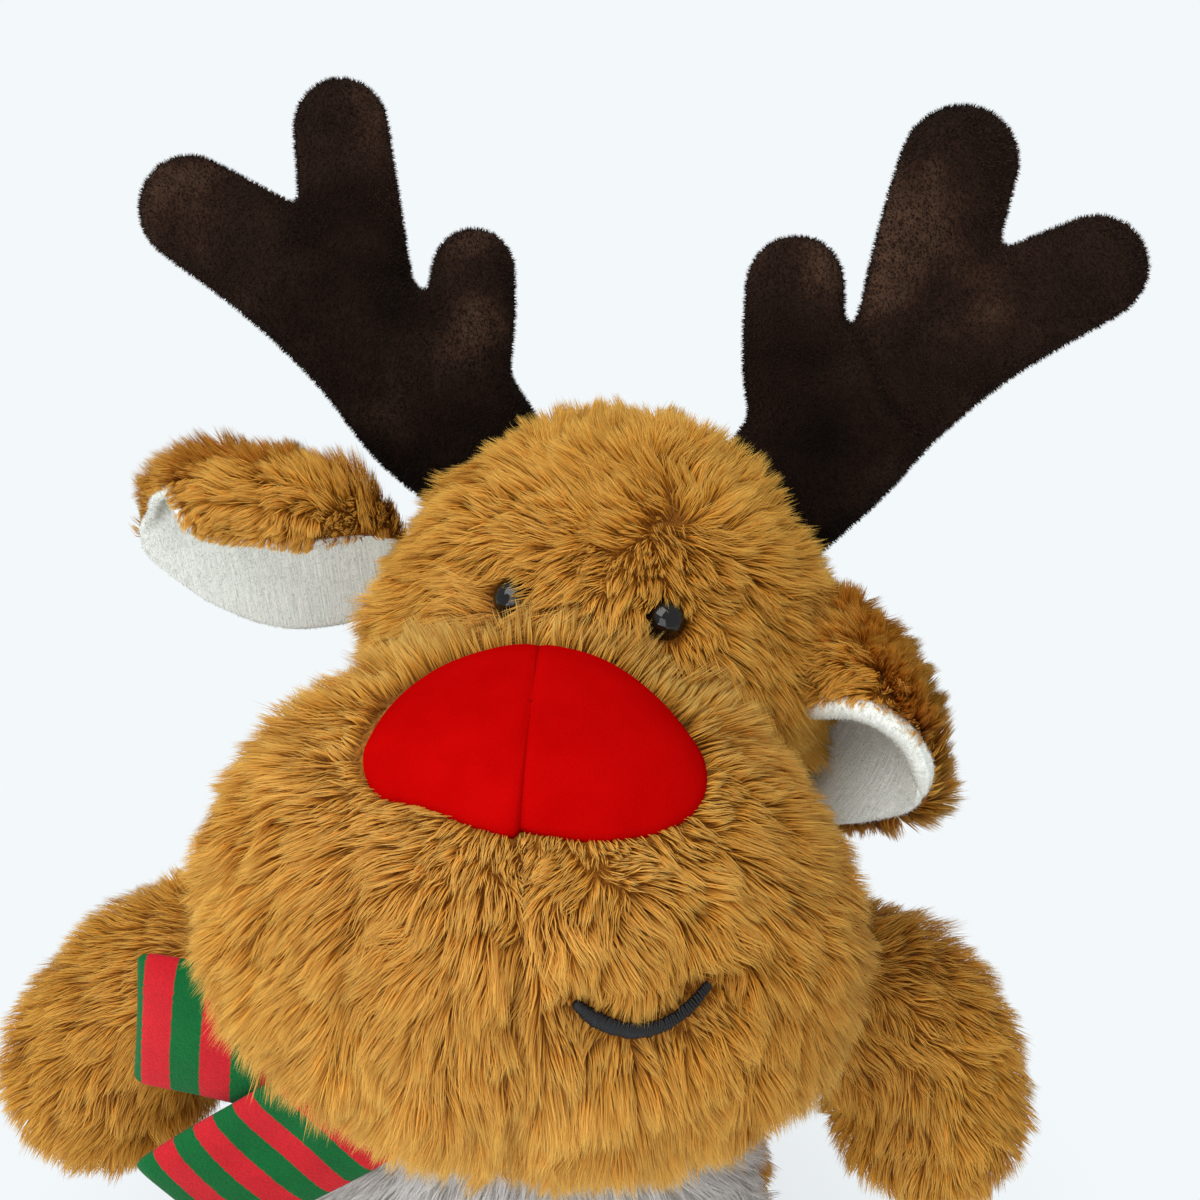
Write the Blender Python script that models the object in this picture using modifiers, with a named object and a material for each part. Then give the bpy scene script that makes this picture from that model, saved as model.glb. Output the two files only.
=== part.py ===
"""Seated plush reindeer: sewn fabric skins over fibre filling, in metres, +Z up.

The origin is the centre of the flat seat. The toy faces -Y, and its own right side is at -X.
Its head is tipped back and to one side, and each limb, ear and antler turns on its own empty.
"""

import math

import bmesh
import bpy
from mathutils import Matrix, Vector

# Fabric and fits
FABRIC = 0.0026
GAP = 0.0003
FILLING_INSET = 0.0041
OVERRUN = 0.02

# Trunk
TRUNK_HEIGHT = 0.214
TRUNK_TOP = (0.0, 0.0, TRUNK_HEIGHT)
TRUNK_HALF_WIDTH = 0.086
TRUNK_HALF_DEPTH = 0.069
TRUNK_PROFILE_SHARE = (
    (0.00, 1.000), (0.20, 0.997), (0.37, 0.968), (0.46, 0.905), (0.535, 0.840), (0.645, 0.750),
    (0.780, 0.640), (0.90, 0.520), (0.98, 0.390), (1.00, 0.270), (0.965, 0.140), (0.87, 0.048),
    (0.72, 0.000), (0.00, 0.000),
)
SIDE_SEAM_Y = -0.006
SEAT_SEAM_HEIGHT = 0.0048
PELLET_BAG_RADIUS = 0.040
PELLET_BAG_HEIGHT = 0.026
REACH = 2 * TRUNK_HEIGHT

# Segments and rings of balls and of the pockets that they sit in
SMOOTH = (24, 14)
FINE = (20, 12)
MIDDLING = (16, 10)
COARSE = (12, 8)
AT_PIVOT = (0.0, 0.0, 0.0)

# Head, measured from the neck pivot, which is given from the trunk's top
NECK_PLACE = (0.008, -0.001, 0.023)
NECK_RADIUS = 0.038
HEAD_PITCH = 22.0
HEAD_ROLL = -1.0
HEAD_TURN = 4.0
CROWN_CENTRE = (0.0, -0.004, 0.067)
CROWN_HALF = (0.066, 0.062, 0.067)
MUZZLE_CENTRE = (-0.006, -0.066, -0.002)
MUZZLE_HALF = (0.086, 0.060, 0.064)
MUZZLE_JOWL_SHARE = 0.10

# Nose patch, drawn square on to its own slope
NOSE_WIDTH = 0.092
NOSE_TOP = 0.036
NOSE_BOTTOM = 0.024
NOSE_RISE = 56.0
NOSE_PROUD = 0.0012
NOSE_TOP_FULLNESS = 0.86
NOSE_BOTTOM_FULLNESS = 0.66
NOSE_POINTS = 40

# Mouth stitching, from the middle of the muzzle
MOUTH_THREAD_RADIUS = 0.0015
MOUTH_HALF_SPAN = 0.0160
MOUTH_PLACE = (0.0390, -0.0020)
MOUTH_SAG = 0.0095
MOUTH_SLANT = 16.0

# Eyes, from the middle of the crown
EYE_PLACE = (0.0215, 0.0127)
EYE_RADIUS = 0.006
EYE_HEIGHT = 0.005
EYE_STEM_RADIUS = 0.0022
EYE_STEM_LENGTH = 0.012
WASHER_RADIUS = 0.0075
WASHER_DEPTH = 0.0046
WASHER_THICKNESS = 0.0016

# Antlers, drawn flat from the root: across and up
ANTLER_ROOT = (0.0475, 0.002, 0.0515)
ANTLER_LEAN_RIGHT = 5.0
ANTLER_LEAN_LEFT = 6.5
ANTLER_FLATNESS_SHARE = 0.62
ANTLER_ROOT_RADIUS = 0.0225
ANTLER_BEAM_RIGHT = ((0.0, 0.0), (0.0190, 0.0190), (0.0440, 0.0425), (0.0735, 0.0640), (0.1050, 0.0825))
ANTLER_BEAM_RADII_RIGHT = (0.0225, 0.0262, 0.0230, 0.0202, 0.0178)
ANTLER_TOP_TINE_RIGHT = ((0.0440, 0.0480), (0.0485, 0.0780), (0.0530, 0.1090))
ANTLER_TOP_RADII_RIGHT = (0.0185, 0.0172, 0.0160)
ANTLER_INNER_TINE_RIGHT = ((0.0120, 0.0220), (0.0080, 0.0420), (0.0068, 0.0625))
ANTLER_INNER_RADII_RIGHT = (0.0170, 0.0155, 0.0140)
ANTLER_BEAM_LEFT = ((0.0, 0.0), (0.0160, 0.0175), (0.0345, 0.0355), (0.0610, 0.0535), (0.0945, 0.0705))
ANTLER_BEAM_RADII_LEFT = (0.0225, 0.0242, 0.0225, 0.0190, 0.0162)
ANTLER_TOP_TINE_LEFT = ((0.0410, 0.0480), (0.0470, 0.0760), (0.0538, 0.1030))
ANTLER_TOP_RADII_LEFT = (0.0180, 0.0184, 0.0180)
ANTLER_INNER_TINE_LEFT = ((0.0085, 0.0230), (0.0050, 0.0440), (0.0046, 0.0672))
ANTLER_INNER_RADII_LEFT = (0.0170, 0.0163, 0.0155)

# Ears, from the middle of the crown
EAR_ROOT = (0.0755, 0.004, 0.0180)
EAR_ROOT_RADIUS = 0.013
EAR_LENGTH = 0.090
EAR_SIZE_LEFT_SHARE = 0.80
EAR_WIDTH = 0.058
EAR_THICKNESS = 0.024
EAR_TWIST_RIGHT = 34.0
EAR_TWIST_LEFT = 34.0
EAR_DROOP_RIGHT = 4.0
EAR_DROOP_LEFT = 72.0
EAR_SWEEP_RIGHT = 0.0
EAR_SWEEP_LEFT = -32.0
LINING_INSET = 0.0075
LINING_THICKNESS = 0.0028

# Arms, each bone given from the shoulder, which is given from the trunk's top
SHOULDER_RADIUS = 0.0275
SHOULDER_RIGHT = (-0.0620, 0.004, -0.0545)
ARM_BONE_RIGHT = (
    (0.0, 0.0, 0.0), (-0.036, -0.002, 0.0045), (-0.074, -0.009, -0.0115), (-0.096, -0.016, -0.0405),
)
ARM_RADII_RIGHT = (0.0275, 0.0295, 0.0335, 0.0345)
SHOULDER_LEFT = (0.0632, 0.006, -0.0555)
ARM_BONE_LEFT = (
    (0.0, 0.0, 0.0), (0.029, -0.002, 0.0225), (0.060, -0.009, 0.0185), (0.072, -0.018, -0.0055),
)
ARM_RADII_LEFT = (0.0275, 0.0285, 0.0290, 0.0285)

# Legs, each bone given from the hip
HIP = (0.058, -0.0565, 0.0335)
LEG_BONE = ((0.0, 0.0, 0.0), (0.006, -0.030, -0.001), (0.012, -0.060, -0.0015), (0.016, -0.082, 0.001))
LEG_RADII = (0.031, 0.0325, 0.0325, 0.0335)
FOOT_HALF = (0.036, 0.028, 0.045)
FOOT_PLACE = (0.017, -0.088, 0.0110)
SOLE_DEPTH = 0.012
SOLE_THICKNESS = 0.003

# Tail
TAIL_ROOT = (0.0, 0.0703, 0.052)
TAIL_BONE = ((0.0, 0.000, 0.000), (0.0, 0.014, 0.005), (0.0, 0.025, 0.017), (0.0, 0.030, 0.033))
TAIL_RADII = (0.0100, 0.0120, 0.0140, 0.0105)
TAIL_SEAM_ANGLE = 50.0

# Scarf, its loop and knot given from the trunk's top
SCARF_WIDTH = 0.025
SCARF_THICKNESS = 0.011
SCARF_LOOP = (
    (0.000, 0.0460, -0.0140), (0.036, 0.034, -0.0150), (0.0480, 0.006, -0.0130),
    (0.0430, -0.028, -0.0310), (0.000, -0.0570, -0.0580),
)
KNOT_PLACE = (-0.0460, -0.0460, -0.0380)
KNOT_HALF = (0.0160, 0.0200, 0.0160)
SCARF_END_WIDTH = 0.044
SCARF_END_THICKNESS = 0.0075
SCARF_EDGE_SHARE = 0.42
UPPER_END_PLACE = (0.0, -0.0105, 0.0)
UPPER_END_LENGTH = 0.0775
UPPER_END_ANGLE = 174.0
LOWER_END_PLACE = (0.0, -0.0187, 0.0)
LOWER_END_LENGTH = 0.092
LOWER_END_ANGLE = 224.0

for leftover in list(bpy.data.objects):
    bpy.data.objects.remove(leftover, do_unlink=True)

parts = bpy.data.collections.new("plush_reindeer")
cutters = bpy.data.collections.new("cutters")
for group in (parts, cutters):
    bpy.context.scene.collection.children.link(group)
cutters.hide_render = True


# Materials

def material(name, colour, roughness=0.9):
    made = bpy.data.materials.new(name)
    made.use_nodes = True
    shader = made.node_tree.nodes["Principled BSDF"]
    shader.inputs["Base Color"].default_value = (*colour, 1.0)
    shader.inputs["Roughness"].default_value = roughness
    shader.inputs["Metallic"].default_value = 0.0
    return made


brown_fur = material("brown_fur", (0.47, 0.23, 0.06))
white_fur = material("white_fur", (0.86, 0.83, 0.78))
cream_minky = material("cream_minky", (0.84, 0.81, 0.75))
antler_minky = material("antler_minky", (0.055, 0.026, 0.016))
nose_felt = material("nose_felt", (0.60, 0.002, 0.003))
mouth_thread = material("mouth_thread", (0.01, 0.01, 0.01), 0.45)
eye_plastic = material("eye_plastic", (0.004, 0.004, 0.004), 0.06)
washer_plastic = material("washer_plastic", (0.80, 0.80, 0.80), 0.4)
scarf_minky = material("scarf_minky", (0.50, 0.03, 0.04))
filling_fibre = material("filling_fibre", (0.90, 0.90, 0.88))
pellet_cloth = material("pellet_cloth", (0.75, 0.75, 0.72))


# Places and turns

def turned(degrees, axis):
    return Matrix.Rotation(math.radians(degrees), 4, axis)


def empty(name, place, turn=None, parent=None):
    """An empty at a place, turned by a matrix, in its parent's frame."""
    made = bpy.data.objects.new(name, None)
    parts.objects.link(made)
    made.parent = parent
    made.matrix_basis = Matrix.Translation(place) @ (turn or Matrix.Identity(4))
    return made


def mirrored(place, side):
    """A place on the toy's left (side 1) or on its right (side -1)."""
    return (side * place[0], *place[1:])


def added(*places):
    return tuple(sum(values) for values in zip(*places))


# Meshes and objects

def solid(name, mesh, skin=None, parent=None):
    """An object of the toy or, where it has no skin material, a hidden cutter."""
    made = bpy.data.objects.new(name, mesh)
    made.parent = parent
    if skin:
        parts.objects.link(made)
        mesh.materials.clear()
        mesh.materials.append(skin)
        mesh.shade_smooth()
        return made
    cutters.objects.link(made)
    made.hide_render = True
    made.display_type = "WIRE"
    return made


def mesh_of(bm, name):
    bmesh.ops.recalc_face_normals(bm, faces=bm.faces)
    mesh = bpy.data.meshes.new(name)
    bm.to_mesh(mesh)
    bm.free()
    return mesh


def evaluated_mesh(obj):
    """A copy of the object's mesh with its modifiers or bevel applied; the object is removed."""
    bpy.context.view_layer.update()
    graph = bpy.context.evaluated_depsgraph_get()
    mesh = bpy.data.meshes.new_from_object(obj.evaluated_get(graph))
    bpy.data.objects.remove(obj, do_unlink=True)
    return mesh


def ellipsoid(name, centre, half, facets=SMOOTH, jowl=0.0, start=0.0):
    """A ball scaled to its half sizes, and wider towards its foot by the share jowl."""
    bm = bmesh.new()
    around, rings = facets
    bmesh.ops.create_uvsphere(
        bm, u_segments=around, v_segments=rings, radius=1.0, matrix=turned(start, "Z")
    )
    for point in bm.verts:
        x, y, z = point.co
        unit = (x * (1.0 - jowl * z), y, z)
        point.co = added(centre, [share * size for share, size in zip(unit, half)])
    return mesh_of(bm, name)


def grown(half, amount):
    return tuple(size + amount for size in half)


def pocket(name, centre, half, parent=None, facets=SMOOTH):
    """A cutter whose flat facets still clear a round form of these half sizes by the gap."""
    slack = 1.0 / (math.cos(math.pi / facets[0]) * math.cos(math.pi / (2 * facets[1])))
    cleared = tuple(size * slack for size in grown(half, GAP))
    half_step = 180.0 / facets[0]
    return solid(name, ellipsoid(name, centre, cleared, facets, start=half_step), parent=parent)


def round_pocket(name, radius, pivot, facets, flatness=1.0):
    """A pocket for a ball on a pivot, or for one that is flattened front to back by a share."""
    return pocket(name, AT_PIVOT, (radius, radius * flatness, radius), pivot, facets)


def slab(name, low, high, parent=None):
    """A box cutter between two corners."""
    bm = bmesh.new()
    bmesh.ops.create_cube(bm, size=1.0)
    for point in bm.verts:
        point.co = [a if share < 0 else b for a, b, share in zip(low, high, point.co)]
    return solid(name, mesh_of(bm, name), parent=parent)


def smooth_run(points, radii, steps):
    """Points with radii, on a Catmull-Rom curve through the given ones."""
    rows = [(*point, radius) for point, radius in zip(points, radii)]
    rows = [rows[0], *rows, rows[-1]]
    run = []
    for four in zip(rows, rows[1:], rows[2:], rows[3:]):
        for step in range(steps):
            t = step / steps
            run.append([
                (2 * b + t * (c - a + t * (2 * a - 5 * b + 4 * c - d + t * (3 * b - a - 3 * c + d)))) / 2
                for a, b, c, d in zip(*four)
            ])
    return [*run, list(rows[-1])]


def ball_end(end, behind, rings=4):
    """The rings that close a tube beyond its end as a ball of the tube's radius."""
    way = (Vector(end[:3]) - Vector(behind[:3])).normalized()
    ball = []
    for ring in range(1, rings + 1):
        angle = math.pi / 2 * ring / (rings + 0.15)
        ball.append([*(Vector(end[:3]) + way * end[3] * math.sin(angle)), end[3] * math.cos(angle)])
    return ball


def stuffed_tube(name, points, radii, steps=3, sides=3, flatness=1.0):
    """A round-ended tube that swells along its points, flattened along Y by a share."""
    run = smooth_run(points, radii, steps)
    run = [*ball_end(run[0], run[1])[::-1], *run, *ball_end(run[-1], run[-2])]
    curve = bpy.data.curves.new(name, "CURVE")
    curve.dimensions = "3D"
    curve.bevel_depth = 1.0
    curve.bevel_resolution = sides
    curve.use_fill_caps = True
    spline = curve.splines.new("POLY")
    spline.points.add(len(run) - 1)
    for point, (x, y, z, radius) in zip(spline.points, run):
        point.co = (x, y, z, 1.0)
        point.radius = radius
    mesh = evaluated_mesh(solid(name, curve))
    bm = bmesh.new()
    bm.from_mesh(mesh)
    bmesh.ops.remove_doubles(bm, verts=bm.verts, dist=GAP / 10)
    for point in bm.verts:
        point.co.y *= flatness
    return mesh_of(bm, name)


def boolean(target, operation, *others):
    """Cuts the target by each of the others, joins it to them, or keeps what lies in them."""
    for other in others:
        modifier = target.modifiers.new(other.name, "BOOLEAN")
        modifier.operation = operation
        modifier.object = other
        modifier.solver = "EXACT"
    return target


def half_cut(name, side, parent=None, middle=0.0):
    """A cutter that takes away all but one side of the seam at middle, with half the gap."""
    edge = middle + side * GAP / 2
    low = (edge - REACH, -REACH, -REACH) if side > 0 else (edge, -REACH, -REACH)
    return slab(name, low, (low[0] + REACH, REACH, REACH), parent)


# Pivots

neck_pivot = empty("neck_pivot", added(TRUNK_TOP, NECK_PLACE))
head_pose = turned(-HEAD_TURN, "Z") @ turned(HEAD_ROLL, "Y") @ turned(-HEAD_PITCH, "X")
head = empty("head", (0.0, 0.0, 0.0), head_pose, neck_pivot)
SIDES = {"right": -1, "left": 1}
antler_pivot = {}
ear_pivot = {}
shoulder = {}
hip = {}
for word, side in SIDES.items():
    place = added(CROWN_CENTRE, mirrored(ANTLER_ROOT, side))
    lean = ANTLER_LEAN_LEFT if side > 0 else ANTLER_LEAN_RIGHT
    antler_pivot[word] = empty("antler_pivot_" + word, place, turned(-lean, "Y"), head)
    place = added(CROWN_CENTRE, mirrored(EAR_ROOT, side))
    droop = side * (EAR_DROOP_LEFT if side > 0 else EAR_DROOP_RIGHT)
    sweep = side * (EAR_SWEEP_LEFT if side > 0 else EAR_SWEEP_RIGHT)
    twist = EAR_TWIST_LEFT if side > 0 else EAR_TWIST_RIGHT
    pose = turned(sweep, "Z") @ turned(droop, "Y") @ turned(twist, "X")
    ear_pivot[word] = empty("ear_pivot_" + word, place, pose, head)
    place = added(TRUNK_TOP, SHOULDER_LEFT if side > 0 else SHOULDER_RIGHT)
    shoulder[word] = empty("shoulder_" + word, place)
    hip[word] = empty("hip_" + word, mirrored(HIP, side))
tail_pivot = empty("tail_pivot", TAIL_ROOT)


# Trunk: belly, two back panels and a seat, over fibre and a bag of pellets

def trunk_form(name, grow, steps=26):
    """The pear of the trunk as a turned profile, wider than deep, grown outwards all round."""
    middle = TRUNK_HEIGHT / 2
    rise = (middle + grow) / middle
    profile = [
        ((TRUNK_HALF_WIDTH + grow) * across, middle + (TRUNK_HEIGHT * up - middle) * rise)
        for across, up in TRUNK_PROFILE_SHARE
    ]
    mesh = bpy.data.meshes.new(name)
    edges = [(i, i + 1) for i in range(len(profile) - 1)]
    mesh.from_pydata([(x, 0.0, z) for x, z in profile], edges, [])
    lathe = solid(name, mesh)
    screw = lathe.modifiers.new("Turn", "SCREW")
    screw.steps = screw.render_steps = steps
    screw.use_merge_vertices = True
    screw.merge_threshold = GAP / 10
    screw.use_normal_calculate = True
    mesh = evaluated_mesh(lathe)
    bm = bmesh.new()
    bm.from_mesh(mesh)
    bmesh.ops.remove_doubles(bm, verts=bm.verts, dist=GAP / 10)
    narrow = (TRUNK_HALF_DEPTH + grow) / (TRUNK_HALF_WIDTH + grow)
    for point in bm.verts:
        point.co.y *= narrow
    return mesh_of(bm, name)


trunk_inside = solid("trunk_inside", trunk_form("trunk_inside", -FABRIC))
trunk_clear = solid("trunk_clear", trunk_form("trunk_clear", GAP))


def trunk_pockets(facets):
    """The hollows that the neck and the limbs turn in."""
    made = [round_pocket("neck_pocket", NECK_RADIUS, neck_pivot, facets)]
    for word in SIDES:
        made.append(round_pocket("arm_pocket_" + word, SHOULDER_RADIUS, shoulder[word], facets))
        made.append(round_pocket("leg_pocket_" + word, LEG_RADII[0], hip[word], facets))
    return made


tail_pocket = round_pocket("tail_pocket", TAIL_RADII[0], tail_pivot, COARSE)
below_seat_seam = slab("below_seat_seam", (-REACH, -REACH, -REACH), (REACH, REACH, SEAT_SEAM_HEIGHT + GAP))
above_seat_seam = slab("above_seat_seam", (-REACH, -REACH, SEAT_SEAM_HEIGHT), (REACH, REACH, REACH))
behind_side_seam = slab("behind_side_seam", (-REACH, SIDE_SEAM_Y, -REACH), (REACH, REACH, REACH))
before_side_seam = slab("before_side_seam", (-REACH, -REACH, -REACH), (REACH, SIDE_SEAM_Y + GAP, REACH))

skin_pockets = trunk_pockets(FINE)
trunk_cuts = [trunk_inside, *skin_pockets]
belly = solid("belly_panel", trunk_form("belly_panel", 0.0), white_fur)
boolean(belly, "DIFFERENCE", *trunk_cuts, below_seat_seam, behind_side_seam)
for word, side in SIDES.items():
    back = solid("back_panel_" + word, trunk_form("back_panel_" + word, 0.0), brown_fur)
    other_half = half_cut("trunk_other_" + word, side)
    boolean(back, "DIFFERENCE", *trunk_cuts, tail_pocket, below_seat_seam, before_side_seam, other_half)
seat = solid("seat_panel", trunk_form("seat_panel", 0.0), brown_fur)
boolean(seat, "DIFFERENCE", trunk_inside, *skin_pockets[1:], above_seat_seam)

bag_centre = (0.0, 0.0, FABRIC + GAP + PELLET_BAG_HEIGHT / 2)
bag_depth = PELLET_BAG_RADIUS * TRUNK_HALF_DEPTH / TRUNK_HALF_WIDTH
bag_half = (PELLET_BAG_RADIUS, bag_depth, PELLET_BAG_HEIGHT / 2)
pellet_bag = solid("pellet_bag", ellipsoid("pellet_bag", bag_centre, bag_half, COARSE), pellet_cloth)
bag_pocket = pocket("bag_pocket", bag_centre, bag_half, None, COARSE)
bag_mouth = slab("bag_mouth", (-PELLET_BAG_RADIUS / 2, -PELLET_BAG_RADIUS / 2, 0.0),
                 (PELLET_BAG_RADIUS / 2, PELLET_BAG_RADIUS / 2, bag_centre[2]))
trunk_filling = solid("trunk_filling", trunk_form("trunk_filling", -FILLING_INSET, 16), filling_fibre)
boolean(trunk_filling, "DIFFERENCE", *trunk_pockets(COARSE), tail_pocket, bag_pocket, bag_mouth)

neck_ball = ellipsoid("neck_sleeve", AT_PIVOT, (NECK_RADIUS,) * 3, FINE)
solid("neck_sleeve", neck_ball, brown_fur, neck_pivot)

# Head: two side panels, two muzzle panels and a two-piece nose, over one filling



def crown_form(name, grow, facets=SMOOTH):
    return ellipsoid(name, CROWN_CENTRE, grown(CROWN_HALF, grow), facets)


def muzzle_form(name, grow, facets=SMOOTH):
    return ellipsoid(name, MUZZLE_CENTRE, grown(MUZZLE_HALF, grow), facets, MUZZLE_JOWL_SHARE)


def nose_block(name, grow):
    """The nose's outline carried through the muzzle's wall, square to the nose's slope."""
    curve = bpy.data.curves.new(name, "CURVE")
    curve.dimensions = "2D"
    curve.fill_mode = "BOTH"
    curve.extrude = MUZZLE_HALF[1] / 2
    spline = curve.splines.new("POLY")
    spline.points.add(NOSE_POINTS - 1)
    for index, point in enumerate(spline.points):
        angle = 2 * math.pi * index / NOSE_POINTS
        across, up = math.cos(angle), math.sin(angle)
        rise = NOSE_TOP if up > 0 else NOSE_BOTTOM
        fullness = NOSE_TOP_FULLNESS if up > 0 else NOSE_BOTTOM_FULLNESS
        across = math.copysign(abs(across) ** fullness, across)
        point.co = ((NOSE_WIDTH / 2 + grow) * across, (rise + grow) * up, 0.0, 1.0)
    spline.use_cyclic_u = True
    mesh = evaluated_mesh(solid(name, curve))
    bm = bmesh.new()
    bm.from_mesh(mesh)
    bmesh.ops.remove_doubles(bm, verts=bm.verts, dist=GAP / 10)
    mesh = mesh_of(bm, name)
    slope = math.radians(NOSE_RISE)
    outward = Vector((0.0, -math.cos(slope) * MUZZLE_HALF[1], math.sin(slope) * MUZZLE_HALF[2]))
    made = solid(name, mesh, parent=head)
    made.matrix_basis = Matrix.Translation(Vector(MUZZLE_CENTRE) + outward) @ turned(90.0 - NOSE_RISE, "X")
    return made


crown_inside = solid("crown_inside", crown_form("crown_inside", -FABRIC), parent=head)
crown_clear = solid("crown_clear", crown_form("crown_clear", GAP), parent=head)
muzzle_inside = solid("muzzle_inside", muzzle_form("muzzle_inside", -FABRIC), parent=head)
nose_keep = nose_block("nose_keep", 0.0)
nose_hole = nose_block("nose_hole", GAP)


def head_pockets(facets, neck_facets):
    """The hollows that the neck, the antlers and the ears turn in."""
    made = [round_pocket("head_neck_pocket", NECK_RADIUS, neck_pivot, neck_facets)]
    ear_flatness = EAR_THICKNESS / 2 / EAR_ROOT_RADIUS
    for kind, radius, pivots, flatness in (
        ("antler_pocket_", ANTLER_ROOT_RADIUS, antler_pivot, ANTLER_FLATNESS_SHARE),
        ("ear_pocket_", EAR_ROOT_RADIUS, ear_pivot, ear_flatness),
    ):
        made.extend(round_pocket(kind + word, radius, pivots[word], facets, flatness) for word in SIDES)
    return made



def eye_frame(side):
    """The place and turn of an eye on the crown, its own Z pointing out."""
    across, up = EYE_PLACE
    share = math.sqrt(1.0 - (across / CROWN_HALF[0]) ** 2 - (up / CROWN_HALF[2]) ** 2)
    spot = Vector((side * across, -CROWN_HALF[1] * share, up))
    outward = Vector([value / size**2 for value, size in zip(spot, CROWN_HALF)])
    turn = outward.to_track_quat("Z", "Y").to_matrix().to_4x4()
    return Matrix.Translation(Vector(CROWN_CENTRE) + spot) @ turn


def turned_solid(name, profile, frame, skin=None, steps=16, closed=False):
    """A profile of (radius, height) points turned about the frame's Z."""
    mesh = bpy.data.meshes.new(name)
    edges = [(i, i + 1) for i in range(len(profile) - 1)]
    if closed:
        edges.append((len(profile) - 1, 0))
    mesh.from_pydata([(x, 0.0, z) for x, z in profile], edges, [])
    lathe = solid(name, mesh)
    screw = lathe.modifiers.new("Turn", "SCREW")
    screw.steps = screw.render_steps = steps
    screw.use_merge_vertices = True
    screw.merge_threshold = GAP / 10
    mesh = evaluated_mesh(lathe)
    bm = bmesh.new()
    bm.from_mesh(mesh)
    bmesh.ops.remove_doubles(bm, verts=bm.verts, dist=GAP / 10)
    made = solid(name, mesh_of(bm, name), skin, head)
    made.matrix_basis = frame
    return made


eye_holes = []
eye_wells = []
for word, side in SIDES.items():
    frame = eye_frame(side)
    dome = [(EYE_RADIUS * math.sin(a), GAP + EYE_HEIGHT * math.cos(a))
            for a in (math.pi / 2 * step / 4 for step in range(5))]
    stem = [(EYE_STEM_RADIUS, GAP), (EYE_STEM_RADIUS, -EYE_STEM_LENGTH), (0.0, -EYE_STEM_LENGTH)]
    eye = turned_solid("eye_" + word, dome + stem, frame, eye_plastic)
    bore = EYE_STEM_RADIUS + GAP
    hole_line = [(0.0, OVERRUN), (bore, OVERRUN), (bore, -OVERRUN), (0.0, -OVERRUN)]
    eye_holes.append(turned_solid("eye_hole_" + word, hole_line, frame))
    top = -WASHER_DEPTH
    low = top - WASHER_THICKNESS
    ring = [(bore, top), (WASHER_RADIUS, top), (WASHER_RADIUS, low), (bore, low)]
    turned_solid("eye_washer_" + word, ring, frame, washer_plastic, closed=True)
    well = WASHER_RADIUS + GAP
    bottom = -EYE_STEM_LENGTH - GAP
    step = low - GAP
    well_line = [(0.0, OVERRUN), (well, OVERRUN), (well, step), (bore, step), (bore, bottom), (0.0, bottom)]
    eye_wells.append(turned_solid("eye_well_" + word, well_line, frame))

skin_pockets = head_pockets(MIDDLING, FINE)
for word, side in SIDES.items():
    other_half = half_cut("head_other_" + word, side, head)
    other_cheek = half_cut("muzzle_other_" + word, side, head, MUZZLE_CENTRE[0])
    panel = solid("head_panel_" + word, crown_form("head_panel", 0.0), brown_fur, head)
    boolean(panel, "DIFFERENCE", crown_inside, muzzle_inside, *skin_pockets, *eye_holes, other_half)
    muzzle = solid("muzzle_panel_" + word, muzzle_form("muzzle_panel", 0.0), brown_fur, head)
    boolean(muzzle, "DIFFERENCE", muzzle_inside, crown_clear, nose_hole, skin_pockets[0], other_cheek)
    nose = solid("nose_patch_" + word, muzzle_form("nose_patch", NOSE_PROUD), nose_felt, head)
    boolean(nose, "DIFFERENCE", muzzle_inside, crown_clear, other_cheek)
    boolean(nose, "INTERSECT", nose_keep)

stuffed_form = crown_form("head_filling", -FILLING_INSET, MIDDLING)
head_filling = solid("head_filling", stuffed_form, filling_fibre, head)
muzzle_fibre = muzzle_form("muzzle_filling", -FILLING_INSET, MIDDLING)
muzzle_filling = solid("muzzle_filling", muzzle_fibre, parent=head)
boolean(head_filling, "UNION", muzzle_filling)
boolean(head_filling, "DIFFERENCE", *head_pockets(COARSE, COARSE), *eye_wells)


def on_muzzle(x, z, out):
    """The point in front of the muzzle's skin at x and z from its middle, out from the skin."""
    up = z / MUZZLE_HALF[2]
    across = x / (MUZZLE_HALF[0] * (1.0 - MUZZLE_JOWL_SHARE * up))
    y = -MUZZLE_HALF[1] * math.sqrt(1.0 - across**2 - up**2)
    way = Vector((x / MUZZLE_HALF[0] ** 2, y / MUZZLE_HALF[1] ** 2, z / MUZZLE_HALF[2] ** 2)).normalized()
    return tuple(Vector(MUZZLE_CENTRE) + Vector((x, y, z)) + way * out)


mouth_run = []
for step in range(9):
    share = step / 4 - 1.0
    spot = turned(-MOUTH_SLANT, "Y") @ Vector((MOUTH_HALF_SPAN * share, 0.0, -MOUTH_SAG * (1.0 - share**2)))
    mouth_run.append(on_muzzle(MOUTH_PLACE[0] + spot.x, MOUTH_PLACE[1] + spot.z, MOUTH_THREAD_RADIUS + GAP))
mouth = solid("mouth_stitching", stuffed_tube(
    "mouth_stitching", mouth_run, (MOUTH_THREAD_RADIUS,) * len(mouth_run), 1, 1), mouth_thread, head)

# Antlers: a front and a back panel sewn round the edge

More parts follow.
